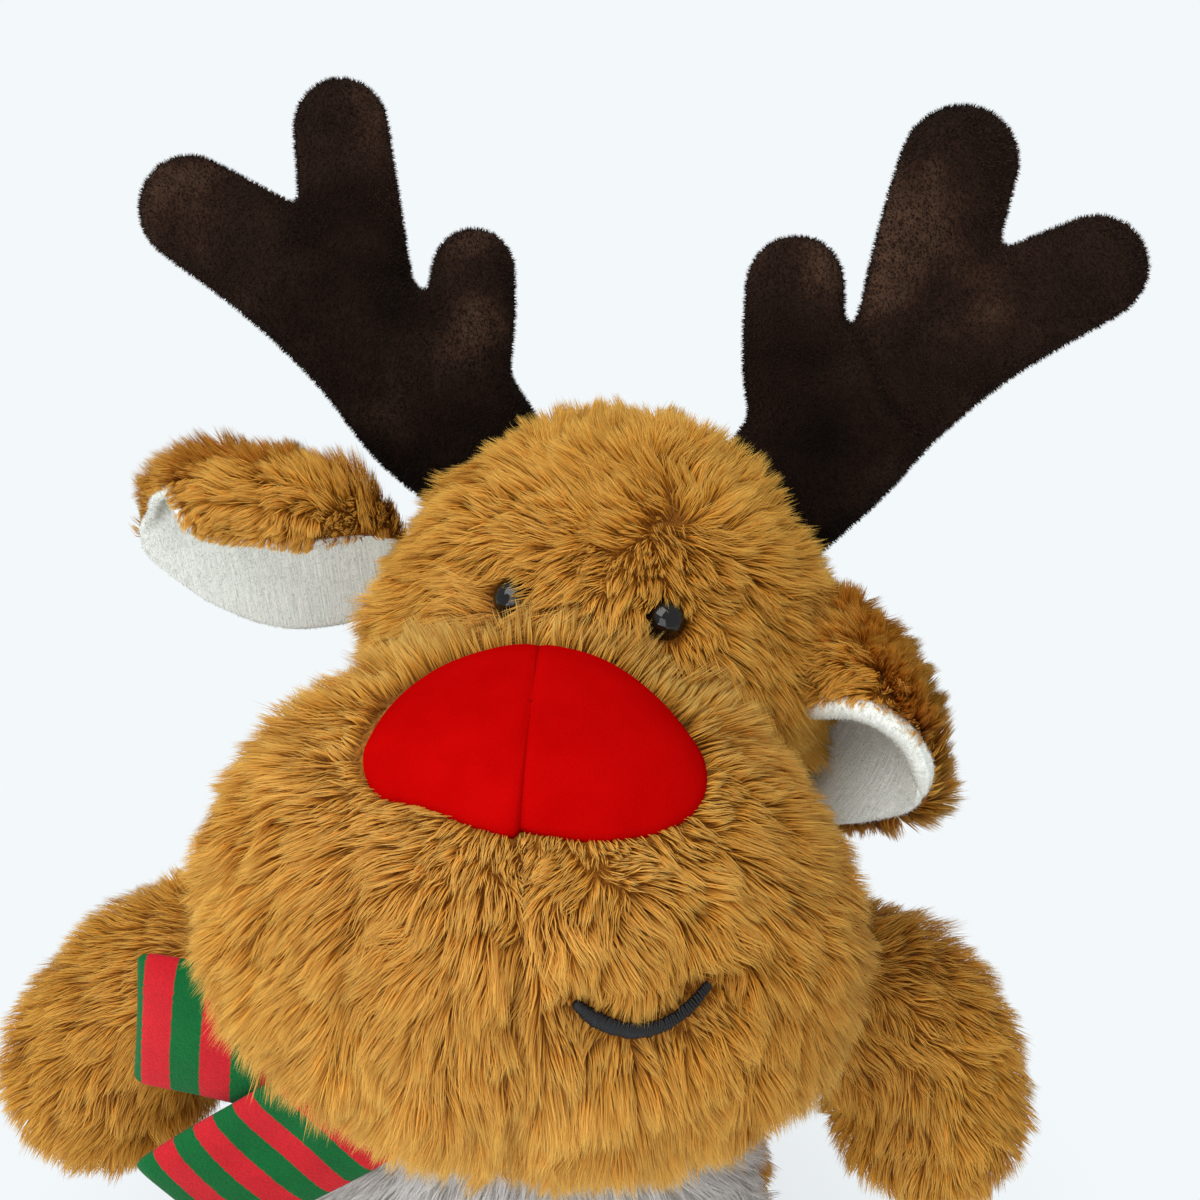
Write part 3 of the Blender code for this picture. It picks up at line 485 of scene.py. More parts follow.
grid = trunk_grid(np.zeros_like, lambda wide: np.full_like(wide, 2 * math.pi), 0.0, seat_share, 120, 24)[:, :-1]
bottom = np.linspace(0, 1, 14)[:, None, None] * grid[:1]
bottom[..., 2] = 0
seat_grid = np.concatenate([bottom, grid[1:]])
seat_grid[..., 2] = np.maximum(seat_grid[..., 2], 0)
inner = seat_grid.copy()
inner[..., :2] *= 0.985
inner[..., 2] += BACKING * 0.9
dressed(panel("seat_cloth", seat_grid, inner, brown_backing, closed=True), "trunk", 0.8, "brown_fur", "seat_panel")


def clear_of(matrices, radius, fade=0.004):
    """The share of full length that pile keeps near pivots: none inside the radius, whole beyond the fade."""
    def share(points, normals):
        kept = np.ones(len(points))
        for matrix in matrices:
            away = np.linalg.norm(points - matrix[:3, 3], axis=1)
            kept = np.minimum(kept, np.clip((away - radius) / fade, 0, 1))
        return kept
    return share


def combed_down(points, normals):
    """Down, and a little outwards to each side."""
    way = np.tile([0.0, 0.0, -1.0], (len(points), 1))
    way[:, 0] += 4.0 * points[:, 0]
    return way


def off_the_floor(share, reach):
    """Pile shortened where it stands close to the floor, so that the toy sits on its cloth."""
    def kept(points, normals):
        room = np.clip((points[:, 2] - 0.002) / reach, 0.12, 1)
        return share(points, normals) * np.where(normals[:, 2] < 0.3, room, 1)
    return kept


around_limbs = clear_of(list(shoulder.values()), 0.024)
around_hips = clear_of(list(hip.values()), 0.028)
around_neck = clear_of([neck_pivot], 0.036)


def trunk_keep(points, normals):
    return around_limbs(points, normals) * around_hips(points, normals) * around_neck(points, normals)


for word, side in SIDES.items():
    grow_pile("back_pile_" + word, trunk_skin["back_panel_" + word], 28000, 0.0115, combed_down,
              off_the_floor(trunk_keep, 0.012), "trunk", brown_fibre, 11 + side, width=0.00046)
grow_pile("belly_pile", trunk_skin["belly_panel"], 31000, 0.0140, combed_down,
          off_the_floor(trunk_keep, 0.014), "trunk", white_fibre, 17, width=0.00046, tuft=0.0038)

pellet_cloth = backing_finish("pellet_cotton", colour(205, 205, 198), colour(232, 232, 226))
fibre_wadding = backing_finish("fibre_wadding", colour(214, 214, 210), colour(246, 246, 242))
for node, cloth in (("trunk_filling", fibre_wadding), ("head_filling", fibre_wadding), ("pellet_bag", pellet_cloth)):
    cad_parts[node].data.materials.clear()
    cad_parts[node].data.materials.append(cloth)


# Neck: a short sleeve of the brown plush, stuffed as a ball, that the head turns and nods on.

def ball_grid(matrix, half, rows, columns):
    """An ellipsoid as turns about Z by turns down from its pole."""
    down = np.linspace(0, math.pi, rows)[:, None]
    about = around(columns)
    flat = np.stack([np.sin(down) * np.cos(about), np.sin(down) * np.sin(about),
                     np.broadcast_to(np.cos(down), (rows, columns))], -1)
    return placed(flat * np.array(half), matrix)


neck_grid = ball_grid(neck_pivot, (NECK_RADIUS,) * 3, 40, 64)
grow_pile("neck_pile", neck_grid, 9000, 0.0080, combed_down, clear_of([moved(0, 0, 0.18)], 0.034, 0.01), "neck",
          brown_fibre, 19, width=0.00046, closed=True)
dressed(rings_sewn("neck_cloth", neck_grid, brown_backing), "neck", 0.8, "brown_fur", "neck_sleeve")


# Arms and legs: stuffed tubes of the brown plush, sewn shut and rounded at the end, each set into
# the trunk's side seam. A leg ends in a foot with a minky sole patch sewn into its flat front.

def swept(bone, radii, steps, caps):
    """A smooth bone with a ball's turn at each end: its points, their radii and the bone's way at each."""
    run = smooth_line(np.column_stack([np.asarray(bone, float), radii]), steps)
    line, size = run[:, :3], run[:, 3]
    way = unit(np.gradient(line, axis=0))
    turn = np.linspace(math.pi / 2, 0, caps, endpoint=False)[:, None]
    head = line[:1] - way[:1] * size[0] * np.sin(turn)
    tail = (line[-1:] + way[-1:] * size[-1] * np.sin(turn))[::-1]
    reach = np.concatenate([size[0] * np.cos(turn[:, 0]), size, (size[-1] * np.cos(turn[:, 0]))[::-1]])
    way = np.vstack([np.repeat(way[:1], caps, 0), way, np.repeat(way[-1:], caps, 0)])
    return np.vstack([head, line, tail]), reach[:, None, None], way


def tube_grid(bone, radii, columns, matrix):
    """Rings swept along a smooth bone, and the bone's point under each."""
    centre, reach, way = swept(bone, radii, 10, 12)
    side = unit(np.cross(way, [0.0, 0.0, 1.0]) + np.array([1e-9, 0, 0]))
    top = np.cross(side, way)
    about = around(columns)[..., None]
    rings = centre[:, None] + reach * (side[:, None] * np.cos(about) + top[:, None] * np.sin(about))
    return placed(rings, matrix), placed(centre, matrix)


def combed_along(line, fall):
    """The way of the nearest stretch of a line, and a fall."""
    step = unit(np.gradient(line, axis=0))

    def comb(points, normals):
        near = np.argmin(((points[:, None] - line[None]) ** 2).sum(2), axis=1)
        return step[near] + [0.0, 0.0, -fall]
    return comb


ARM_BONES = {
    "right": ((0.0, 0.0, 0.0), (-0.036, -0.002, 0.0045), (-0.074, -0.009, -0.0115), (-0.096, -0.016, -0.0405)),
    "left": ((0.0, 0.0, 0.0), (0.029, -0.002, 0.0225), (0.060, -0.009, 0.0185), (0.072, -0.018, -0.0055))}
ARM_RADII = {"right": (0.0275, 0.0295, 0.0335, 0.0345), "left": (0.0275, 0.0285, 0.0290, 0.0285)}
for word, side in SIDES.items():
    grid, centre = tube_grid(ARM_BONES[word], ARM_RADII[word], 64, shoulder[word])
    dressed(rings_sewn("arm_cloth_" + word, grid, brown_backing), "arm_" + word, 0.8, "brown_fur", "arm_" + word)

    def arm_keep(points, normals, side=side, place=shoulder[word], clear=clear_of([shoulder[word]], 0.0265, 0.008)):
        inward = points[:, 0] * side < abs(place[0, 3]) - 0.004
        return np.where(inward, 0.0, clear(points, normals))

    grow_pile("arm_pile_" + word, grid, 32000, 0.0120, combed_along(centre, 0.5), arm_keep, "arm_" + word,
              brown_fibre, 23 + side, closed=True)

LEG_BONE = ((0.0, 0.0, 0.0), (0.006, -0.030, -0.001), (0.012, -0.060, -0.0015), (0.016, -0.082, 0.001))
FOOT_HALF = np.array([0.036, 0.028, 0.045])
FOOT_PLACE = (0.017, -0.088, 0.0110)
SOLE_DEPTH = 0.012
minky = Finish("cream_minky_pile", 0.75, 0.2, 0.5)
minky_nap = minky.noise(420.0, 3.0, (1.0, 1.0, 0.45))
minky_cloud = minky.cloud(60.0, 2.0, colour(206, 206, 196), colour(236, 237, 229))
minky.paint(minky.times(minky_cloud, minky.ramp(minky_nap, (0.25, 0.80), (0.7, 1.0))))
minky.bump(minky_nap, 0.0012)
cream_minky = minky.material


def foot_keep(matrix, side):
    front = matrix[1, 3] + FOOT_PLACE[1] - FOOT_HALF[1] + SOLE_DEPTH

    def kept(points, normals):
        sole = np.clip((points[:, 1] - front) / 0.003, 0, 1)
        floor = np.clip((points[:, 2] - 0.002) / 0.012, 0.1, 1)
        return sole * np.where(normals[:, 2] < 0.3, floor, 1)
    return kept


def combed_to_the_toe(points, normals):
    return np.tile([0.0, -1.0, -0.15], (len(points), 1))


def combed_up_and_down(points, normals):
    """Up over the toes from the leg, and down below."""
    way = np.tile([0.0, -0.55, 0.0], (len(points), 1))
    way[:, 2] = np.clip((points[:, 2] - 0.045) * 40, -1, 1)
    return way


for word, side in SIDES.items():
    bone = np.array(LEG_BONE) * [side, 1, 1]
    grid, centre = tube_grid(bone, LEG_RADII, 64, hip[word])
    grid[..., 2] = np.maximum(grid[..., 2], 0.0003)
    dressed(rings_sewn("leg_cloth_" + word, grid, brown_backing), "leg_" + word, 0.8, "brown_fur", "leg_" + word)
    ankle = hip[word][1, 3] - 0.072

    def leg_keep(points, normals, place=hip[word][:3, 3], inward=np.array([-side * 0.7, 0.7, 0.0]),
                 rest=foot_keep(hip[word], side)):
        outside = np.clip((0.010 - (points - place) @ inward) / 0.006, 0, 1)
        return outside * rest(points, normals) * np.clip((points[:, 1] - ankle) / 0.004, 0, 1)

    grow_pile("leg_pile_" + word, grid, 18000, 0.0110, combed_to_the_toe, leg_keep, "leg_" + word,
              brown_fibre, 31 + side, width=0.00046, closed=True)

    place = hip[word] @ moved(side * FOOT_PLACE[0], FOOT_PLACE[1], FOOT_PLACE[2])
    front = place[1, 3] - FOOT_HALF[1] + SOLE_DEPTH
    grid = ball_grid(place @ turned(90, "X"), (FOOT_HALF[0], FOOT_HALF[2], FOOT_HALF[1]), 48, 72)
    grid[..., 1] = np.maximum(grid[..., 1], front)
    grid[..., 2] = np.maximum(grid[..., 2], 0.0002)
    dressed(rings_sewn("foot_cloth_" + word, grid, brown_backing), "leg_" + word, 0.8, "brown_fur")
    grow_pile("foot_pile_" + word, grid, 15000, 0.0100, combed_up_and_down, foot_keep(hip[word], side),
              "leg_" + word, brown_fibre, 41 + side, width=0.00046, closed=True)

    share = np.linspace(0, 1, 22)[:, None]
    about = around(72)
    spread = 0.80 * share
    disc = np.stack([place[0, 3] + FOOT_HALF[0] * spread * np.cos(about),
                     front - GAP - 0.0030 * (1 - share ** 6) ** 0.5 - 0 * about,
                     np.maximum(place[2, 3] + FOOT_HALF[2] * spread * np.sin(about), 0.001)], -1)
    behind = disc.copy()
    behind[..., 1] = front - GAP
    sole = panel("sole_patch_" + word, disc, behind, cream_minky, closed=True)
    dressed(sole, "leg_" + word, 0.4, "cream_minky", "sole_" + word)


# Tail: a small upright scut of two panels, brown in front and white behind, lightly stuffed.

TAIL_BONE = ((0.0, 0.0, 0.0), (0.0, 0.014, 0.005), (0.0, 0.025, 0.017), (0.0, 0.030, 0.033))
tail_rings, tail_centre = tube_grid(TAIL_BONE, TAIL_RADII, 80, tail_pivot)
for face, first, fibre, backing, slot in (("upper", 0, brown_fibre, brown_backing, "brown_fur"),
                                          ("under", 40, white_fibre, white_backing, "white_fur")):
    grid = np.take(tail_rings, np.arange(first, first + 41) % 80, axis=1)
    inner = grid + (tail_centre[:, None] - grid) * 0.2
    half = panel("tail_cloth_" + face, grid, inner, backing)
    dressed(half, "tail", 0.6, slot, "tail_" + face)

    def combed_to_the_tip(points, normals):
        return np.tile([0.0, 0.45, 1.0], (len(points), 1))

    grow_pile("tail_pile_" + face, grid, 6000, 0.0100, combed_to_the_tip,
              clear_of([tail_pivot], 0.0098, 0.004), "tail", fibre, 51 + first, width=0.00046,
              out=tail_centre.mean(0))


# Head: a round crown of two plush panels seamed down the middle, and a wide muzzle of two more,
# seamed under the nose, all over one filling. The pile parts on the forehead and falls outwards.

head_frame = neck_pivot @ turned(-4, "Z") @ turned(-1, "Y") @ turned(-22, "X")
head_inverse = np.linalg.inv(head_frame)
CROWN_CENTRE = np.array([0.0, -0.004, 0.067])
CROWN_HALF = np.array([0.066, 0.062, 0.067])
MUZZLE_CENTRE = np.array([-0.006, -0.066, -0.002])
MUZZLE_HALF = np.array([0.086, 0.060, 0.064])
MUZZLE_JOWL = 0.10
ANTLER_FLATNESS = 0.62
ANTLER_ROOT_RADIUS = 0.0225
EAR_ROOT_RADIUS = 0.013
EAR_THICKNESS = 0.024
antler_root = {"right": moved(-0.0475, -0.002, 0.1185) @ turned(-5.0, "Y"),
               "left": moved(0.0475, -0.002, 0.1185) @ turned(-6.5, "Y")}
ear_root = {"right": moved(-0.0755, 0.0, 0.085) @ turned(-4.0, "Y") @ turned(34.0, "X"),
            "left": moved(0.0755, 0.0, 0.085) @ turned(-32.0, "Z") @ turned(72.0, "Y") @ turned(34.0, "X")}
crown_balls = [ball(np.eye(4), (NECK_RADIUS,) * 3)]
for word in SIDES:
    size = ANTLER_ROOT_RADIUS
    crown_balls.append(ball(antler_root[word], (size, size * ANTLER_FLATNESS, size)))
    crown_balls.append(ball(ear_root[word], (EAR_ROOT_RADIUS, EAR_THICKNESS / 2, EAR_ROOT_RADIUS)))
crown_ball = ball(moved(*CROWN_CENTRE), CROWN_HALF)
muzzle_ball = ball(moved(*MUZZLE_CENTRE), MUZZLE_HALF)
MUZZLE_SEAM = np.array([(-0.064, 0.0135), (-0.034, 0.0117), (-0.002, 0.0099), (0.017, 0.0077),
                        (0.040, 0.0020), (0.064, -0.0040)])


def swollen(form, centre, swell):
    """A form lifted by each swell: its rise falls off as exp((cosine of the angle from its way - 1) / spread)."""
    out = unit(form - centre)
    for way, rise, spread in swell:
        form = form + out * (rise * np.exp((out @ unit(np.array(way)) - 1) / spread))[..., None]
    return form


def half_form(side, centre, half, jowl, others, rows, columns, seam=None, swell=()):
    """Half an ellipsoid beyond its front seam, its width less towards the top by a share, drawn back from
    what it meets. The seam gives how far across it lies at each height."""
    down = np.linspace(0, math.pi, rows)[:, None]
    up = np.cos(down)
    start = np.full_like(down, -math.pi / 2)
    if seam is not None:
        off = np.interp(up * half[2], seam[:, 0], seam[:, 1]) / (half[0] * np.maximum(np.sin(down), 0.3))
        start = start + side * np.arcsin(np.clip(off, -0.5, 0.5))
    about = start + (math.pi / 2 - start) * np.linspace(0, 1, columns)[None]
    form = centre + half * np.stack([side * np.sin(down) * np.cos(about) * (1 - jowl * up),
                                     np.sin(down) * np.sin(about), up + 0 * about], -1)
    form = swollen(form, centre, swell)
    form = turned_in(form, centre, ("first", "last"), 0.0013, 0.0030)
    return cut_back(centre, form, others)


MUZZLE_CROWNING = ((0.0, 0.30, 1.0), 0.0110, 0.12)
muzzle_swell = {"right": (MUZZLE_CROWNING, ((-0.75, -0.35, 0.50), 0.0045, 0.08)), "left": (MUZZLE_CROWNING,)}
NOSE_RISE = math.radians(56.0)
NOSE_TURN = 8.0
NOSE_OUTLINE = {"right": ((-90, 0.0312), (-86, 0.0332), (-73, 0.0331), (-59, 0.0336), (-43, 0.0368), (-29, 0.0427),
                          (-13, 0.0452), (-4, 0.0433), (13, 0.0391), (38, 0.0351), (59, 0.0303), (84, 0.0268),
                          (90, 0.0266)),
                "left": ((-90, 0.0312), (-77, 0.0338), (-64, 0.0367), (-52, 0.0399), (-36, 0.0444), (-24, 0.0466),
                         (-14, 0.0463), (-3, 0.0440), (10, 0.0390), (30, 0.0334), (51, 0.0292), (73, 0.0264),
                         (90, 0.0266))}
nose_outline = {word: smooth_line(NOSE_OUTLINE[word], 8) for word in SIDES}
nose_frame = moved(*(MUZZLE_CENTRE + MUZZLE_HALF * [0, -math.cos(NOSE_RISE), math.sin(NOSE_RISE)]))
nose_frame = nose_frame @ turned(90 - 56, "X") @ turned(NOSE_TURN, "Z") @ moved(0, 0.0036, 0)


def nose_radius(degrees, across):
    """The outline's distance from the nose's middle: the toy's right half has across below 0."""
    right, left = (np.interp(degrees, nose_outline[word][:, 0], nose_outline[word][:, 1]) for word in SIDES)
    return np.where(across < 0, right, left)


def nose_reach(points):
    """How far out a point lies by the nose's outline: 1 on the outline, less inside it."""
    flat = placed(placed(points, head_inverse), np.linalg.inv(nose_frame))
    away = np.hypot(flat[:, 0], flat[:, 1])
    reach = away / nose_radius(np.degrees(np.arctan2(flat[:, 1], np.abs(flat[:, 0]))), flat[:, 0])
    return np.where(flat[:, 2] < -0.035, 3.0, reach)


def on_muzzle(x, z, out):
    """The muzzle's surface at x across and z up from its middle, moved out square to it."""
    up = z / MUZZLE_HALF[2]
    across = x / (MUZZLE_HALF[0] * (1.0 - MUZZLE_JOWL * up))
    y = -MUZZLE_HALF[1] * np.sqrt(np.maximum(1.0 - across ** 2 - up ** 2, 0))
    offset = np.stack([x, y, z], -1)
    return MUZZLE_CENTRE + offset + unit(offset / MUZZLE_HALF ** 2) * out


SMILE = ((0.0224, -0.0038), (0.0268, -0.0068), (0.0315, -0.0085), (0.0365, -0.0090), (0.0418, -0.0074),
         (0.0468, -0.0034), (0.0505, 0.0018))
smile_flat = smooth_line(SMILE, 14)
smile_line = placed(on_muzzle(smile_flat[:, 0], smile_flat[:, 1], 0.0046), head_frame)


def away_from_line(points, line):
    return np.min(np.linalg.norm(points[:, None] - line[None, ::4], axis=2), axis=1)


def out_of(matrix, fade):
    """The share of pile kept outside an ellipsoid of the head, whole beyond the fade."""
    def share(points):
        flat = placed(placed(points, head_inverse), matrix)
        return np.clip((np.linalg.norm(flat, axis=1) - 1.0) / fade, 0, 1)
    return share


def eye_place(side):
    across, up = 0.0215, 0.0127
    rest = math.sqrt(1 - (across / CROWN_HALF[0]) ** 2 - (up / CROWN_HALF[2]) ** 2)
    spot = np.array([side * across, -CROWN_HALF[1] * rest, up])
    turn = Vector(spot / CROWN_HALF ** 2).to_track_quat("Z", "Y").to_matrix().to_4x4()
    return moved(*(CROWN_CENTRE + spot)) @ np.array(turn)


eye_frames = {word: head_frame @ eye_place(side) for word, side in SIDES.items()}
eye_spots = np.array([eye_frames[word][:3, 3] for word in SIDES])
clear_of_muzzle = out_of(muzzle_ball, 0.05)
clear_of_crown = out_of(crown_ball, 0.05)
clear_of_antlers = [out_of(ball(antler_root[word], np.array([1, 0.6, 1]) * 0.0165), 0.15) for word in SIDES]
neck_clear = clear_of([neck_pivot], 0.037, 0.004)


def crown_keep(points, normals):
    """No pile inside the muzzle, the antlers' roots or the neck, less by the eyes, and most at the sides."""
    eyes = np.linalg.norm(points[:, None] - eye_spots[None], axis=2).min(1)
    near_eye = np.clip(0.80 + (eyes - 0.0056) / 0.014, 0, 1) * (eyes > 0.0056)
    local = placed(points, head_inverse)
    aside = 0.92 + 0.20 * np.clip((np.abs(local[:, 0]) - 0.030) / 0.030, 0, 1)
    aside = aside + 0.18 * np.clip((local[:, 2] - 0.105) / 0.02, 0, 1)
    share = clear_of_muzzle(points) * near_eye * neck_clear(points, normals) * aside
    for clear in clear_of_antlers:
        share = share * clear(points)
    return share


whorl = placed(np.array([0.0190, -0.0500, 0.1060]), head_frame)


def combed_from_the_whorl(points, normals):
    """Outwards from the parting on the forehead, up and back over the top, and down at the sides."""
    away = points - whorl
    spin = np.cross(normals, unit(away)) * 0.35 * np.exp(-np.linalg.norm(away, axis=1, keepdims=True) / 0.03)
    return unit(away) + spin + np.array([0.0, 0.10, -0.18])


crown_swell = {"right": (((-0.92, -0.25, -0.30), 0.0075, 0.10),), "left": (((0.95, 0.0, -0.3), 0.0020, 0.10),)}
for word, side in SIDES.items():
    form = half_form(side, CROWN_CENTRE, CROWN_HALF, 0.0, crown_balls, 72, 54, swell=crown_swell[word])
    grid = placed(form, head_frame)
    centre = placed(CROWN_CENTRE, head_frame)
    inner = grid + unit(centre - grid) * BACKING
    cloth = panel("head_cloth_" + word, grid, inner, brown_backing)
    dressed(cloth, "head", 0.9, "brown_fur", "head_panel_" + word)
    grow_pile("head_pile_" + word, grid, 58000, 0.0128, combed_from_the_whorl, crown_keep, "head",
              brown_fibre, 61 + side, lay=0.66)

nose_middle = placed(placed(np.array([0.0, 0.004, 0.0]), nose_frame), head_frame)


def muzzle_crest(points):
    """1 on the muzzle's top behind the nose, 0 elsewhere."""
    local = placed(points, head_inverse) - MUZZLE_CENTRE
    return np.clip((local[:, 2] - 0.046) / 0.010, 0, 1) * np.clip((0.050 - np.abs(local[:, 0])) / 0.015, 0, 1)


def muzzle_keep(points, normals):
    """No pile under the nose or against the crown, and less of it by the seam, the nose and the smile."""
    local = placed(points, head_inverse) - MUZZLE_CENTRE
    seam_x = np.interp(local[:, 2], MUZZLE_SEAM[:, 0], MUZZLE_SEAM[:, 1])
    seam = np.clip(0.35 + np.abs(local[:, 0] - seam_x) / 0.0055 + muzzle_crest(points), 0.35, 1)
    reach = nose_reach(points)
    above = np.clip((points[:, 2] - nose_middle[2]) / 0.02, 0, 1)
    nose = np.where(reach < 0.97, 0, np.clip(0.50 + 0.45 * above + (reach - 1.0) * 1.6, 0, 1.1))
    smile = np.clip(0.10 + (away_from_line(points, smile_line) - 0.0042) / 0.008, 0, 1)
    low = 1 + 0.22 * np.clip((-local[:, 2] - 0.010) / 0.03, 0, 1) + 0.30 * muzzle_crest(points)
    return seam * nose * smile * low * clear_of_crown(points) * neck_clear(points, normals)


def combed_from_the_nose(points, normals):
    """Away from the nose all round, and falling."""
    way = unit(points - nose_middle)
    return way + np.array([0.0, 0.0, -1.0]) * 2.2 * np.clip((nose_middle[2] + 0.004 - points[:, 2:3]) / 0.045, 0, 1)


def muzzle_lay(points):
    """The pile lies less flat on the muzzle's top, where it stands up behind the nose in front of the eyes."""
    return 0.60 - 0.38 * muzzle_crest(points)


def painted_light_on_top(made):
    """Painted light: the muzzle's pile is made paler towards its top, where the light falls from above."""
    return made.ramp(made.parts_of(made.here())["Z"], (0.296, 1.0), (0.328, (1.08, 1.20, 1.55, 1.0)))


# The muzzle's fibre: the brown fibre's tones, with painted light on the muzzle's top.
muzzle_fibre = fibre_finish("muzzle_fibre", colour(160, 98, 18), colour(234, 168, 58), colour(248, 209, 110),
                            (0.86, 0.80, 0.70, 1.0), 0.55, 0.03, painted_light_on_top)
for word, side in SIDES.items():
    balls = [ball(moved(*CROWN_CENTRE), CROWN_HALF), ball(np.eye(4), (NECK_RADIUS,) * 3)]
    form = half_form(side, MUZZLE_CENTRE, MUZZLE_HALF, MUZZLE_JOWL, balls, 80, 56, MUZZLE_SEAM, muzzle_swell[word])
    grid = placed(form, head_frame)
    centre = placed(MUZZLE_CENTRE, head_frame)
    inner = grid + unit(centre - grid) * BACKING
    cloth = panel("muzzle_cloth_" + word, grid, inner, brown_backing)
    dressed(cloth, "head", 0.9, "brown_fur", "muzzle_panel_" + word)
    grow_pile("muzzle_pile_" + word, grid, 62000, 0.0128, combed_from_the_nose, muzzle_keep, "head",
              muzzle_fibre, 71 + side, lay=muzzle_lay)


# Nose: a broad flat patch of red felt in two halves, seamed up the middle and sewn on to the top of
# the muzzle, on the pile, its edge drawn down into the pile round it.

def nose_grid(side, rise, rows, columns):
    """Half the outline's rounded shape in rings about its middle, each point carried square to the nose's
    slope on to the muzzle grown by a rise. The muzzle's width there is worked out again at each try."""
    ring = np.linspace(0, 1, rows)[:, None]
    about = np.linspace(-math.pi / 2, math.pi / 2, columns)[None]
    reach = ring * nose_radius(np.degrees(about), side)
    flat = np.stack([side * reach * np.cos(about), reach * np.sin(about), np.full((rows, columns), 0.03)], -1)
    start = placed(flat, nose_frame) - MUZZLE_CENTRE
    way = -nose_frame[:3, 2]
    half = np.broadcast_to(MUZZLE_HALF, start.shape) + rise[..., None]
    jowl = np.ones(start.shape[:2])
    for attempt in range(4):
        size = half * np.stack([jowl, np.ones_like(jowl), np.ones_like(jowl)], -1)
        a = ((way / size) ** 2).sum(-1)
        b = (start * way / size ** 2).sum(-1)
        c = ((start / size) ** 2).sum(-1) - 1
        drop = (-b - np.sqrt(np.maximum(b * b - a * c, 0))) / a
        hit = start + way * drop[..., None]
        jowl = 1 - MUZZLE_JOWL * hit[..., 2] / half[..., 2]
    return placed(swollen(MUZZLE_CENTRE + hit, MUZZLE_CENTRE, (MUZZLE_CROWNING,)), head_frame)


felt = Finish("nose_red_felt", 1.0, 0.0)
felt_cloud = felt.cloud(70.0, 2.0, colour(176, 3, 3), colour(186, 5, 5))
felt_nap = felt.noise(1500.0, 3.0)
felt.paint(felt.times(felt_cloud, felt.ramp(felt_nap, (0.3, 0.93), (0.7, 1.0))))
felt.bump(felt_nap, 0.0004, 0.4)
for word, side in SIDES.items():
    ring = np.linspace(0, 1, 32)[:, None]
    about = np.linspace(-math.pi / 2, math.pi / 2, 64)[None]
    across = ring * nose_radius(np.degrees(about), side) * np.cos(about)
    puff = 0.0052 * (1 - ring ** 8) + 0.0014 * ring ** 8 + 0 * about
    fold = 0.0007 * np.exp(-(across / 0.0013) ** 2)
    patch = panel("nose_felt_" + word, nose_grid(side, puff - fold, 32, 64),
                  nose_grid(side, np.full((32, 64), -0.0010), 32, 64), felt.material)
    dressed(patch, "head", 0.3, "nose_felt", "nose_patch_" + word)


# Mouth: a short smile in black satin stitch under the nose, on the toy's left cheek, the stitches
# laid side by side across the line and pressed into the pile.

thread = Finish("mouth_black_thread", 0.5, 0.35)
thread.paint(thread.cloud(2500.0, 2.0, colour(6, 6, 8), colour(22, 24, 27)))
STITCHES = 64
pick = np.linspace(0, len(smile_line) - 1, STITCHES)
middle = np.stack([np.interp(pick, np.arange(len(smile_line)), smile_line[:, i]) for i in range(3)], -1)
way = unit(np.gradient(middle, axis=0))
out = unit(middle - placed(MUZZLE_CENTRE, head_frame))
over = np.cross(out, way)
about = around(6)
down = np.linspace(0, math.pi, 7)[:, None]
rng = np.random.default_rng(5)
narrow = 1 - 0.45 * np.abs(np.linspace(-1, 1, STITCHES)) ** 5
lump = np.stack([np.sin(down) * np.cos(about), np.sin(down) * np.sin(about),
                 np.cos(down) + 0 * about], -1).reshape(-1, 3) * [0.00055, 0.0012, 0.0021]
lean = rng.normal(0, 0.06, STITCHES)[:, None]
slanted = over * np.cos(lean + 0.18) + way * np.sin(lean + 0.18)
tall = (narrow * rng.uniform(0.88, 1.12, STITCHES))[:, None, None]
points = (middle[:, None] + lump[None, :, :1] * way[:, None] + lump[None, :, 1:2] * out[:, None]
          + lump[None, :, 2:] * slanted[:, None] * tall).reshape(-1, 3)
one = grid_faces(7, 6, True)
faces = (one[None] + (np.arange(STITCHES) * 42)[:, None, None]).reshape(-1, 4)
smile = sewn("mouth_satin_stitch", points, faces, thread.material)
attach(smile, "head")
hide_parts("mouth_stitching")


# Eyes: black moulded safety eyes, each a dome on a ribbed stem that a washer locks behind the skin.

gloss = Finish("eye_black_plastic", 0.07, 0.5)
gloss.paint(gloss.ramp(gloss.noise(60.0), (0.3, colour(3, 3, 4)), (0.7, colour(8, 7, 7))))
clear_plastic = Finish("washer_white_plastic", 0.4, 0.4)
clear_plastic.paint(clear_plastic.ramp(clear_plastic.noise(200.0), (0.3, colour(214, 214, 212)),
                                       (0.7, colour(232, 232, 230))))
profile = smooth_line([(0, 0.0060), (0.0024, 0.0056), (0.0044, 0.0042), (0.0056, 0.0021), (0.0060, 0.0006),
                       (0.0057, 0.0001), (0.0030, 0.0001), (0.0022, -0.0006), (0.0022, -0.0118), (0, -0.0120)], 6)
about = around(48)
lathe = np.stack([profile[:, :1] * np.cos(about), profile[:, :1] * np.sin(about),
                  profile[:, 1:] + 0 * about], -1)
for word in SIDES:
    dome = rings_sewn("eye_dome_" + word, placed(lathe, eye_frames[word]), gloss.material)
    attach(dome, "head")
    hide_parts("eye_" + word)
    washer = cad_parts["eye_washer_" + word]
    washer.data.materials.clear()
    washer.data.materials.append(clear_plastic.material)


# Antlers: a flat front and back of dark minky sewn round the edge and stuffed, a beam with two tines.

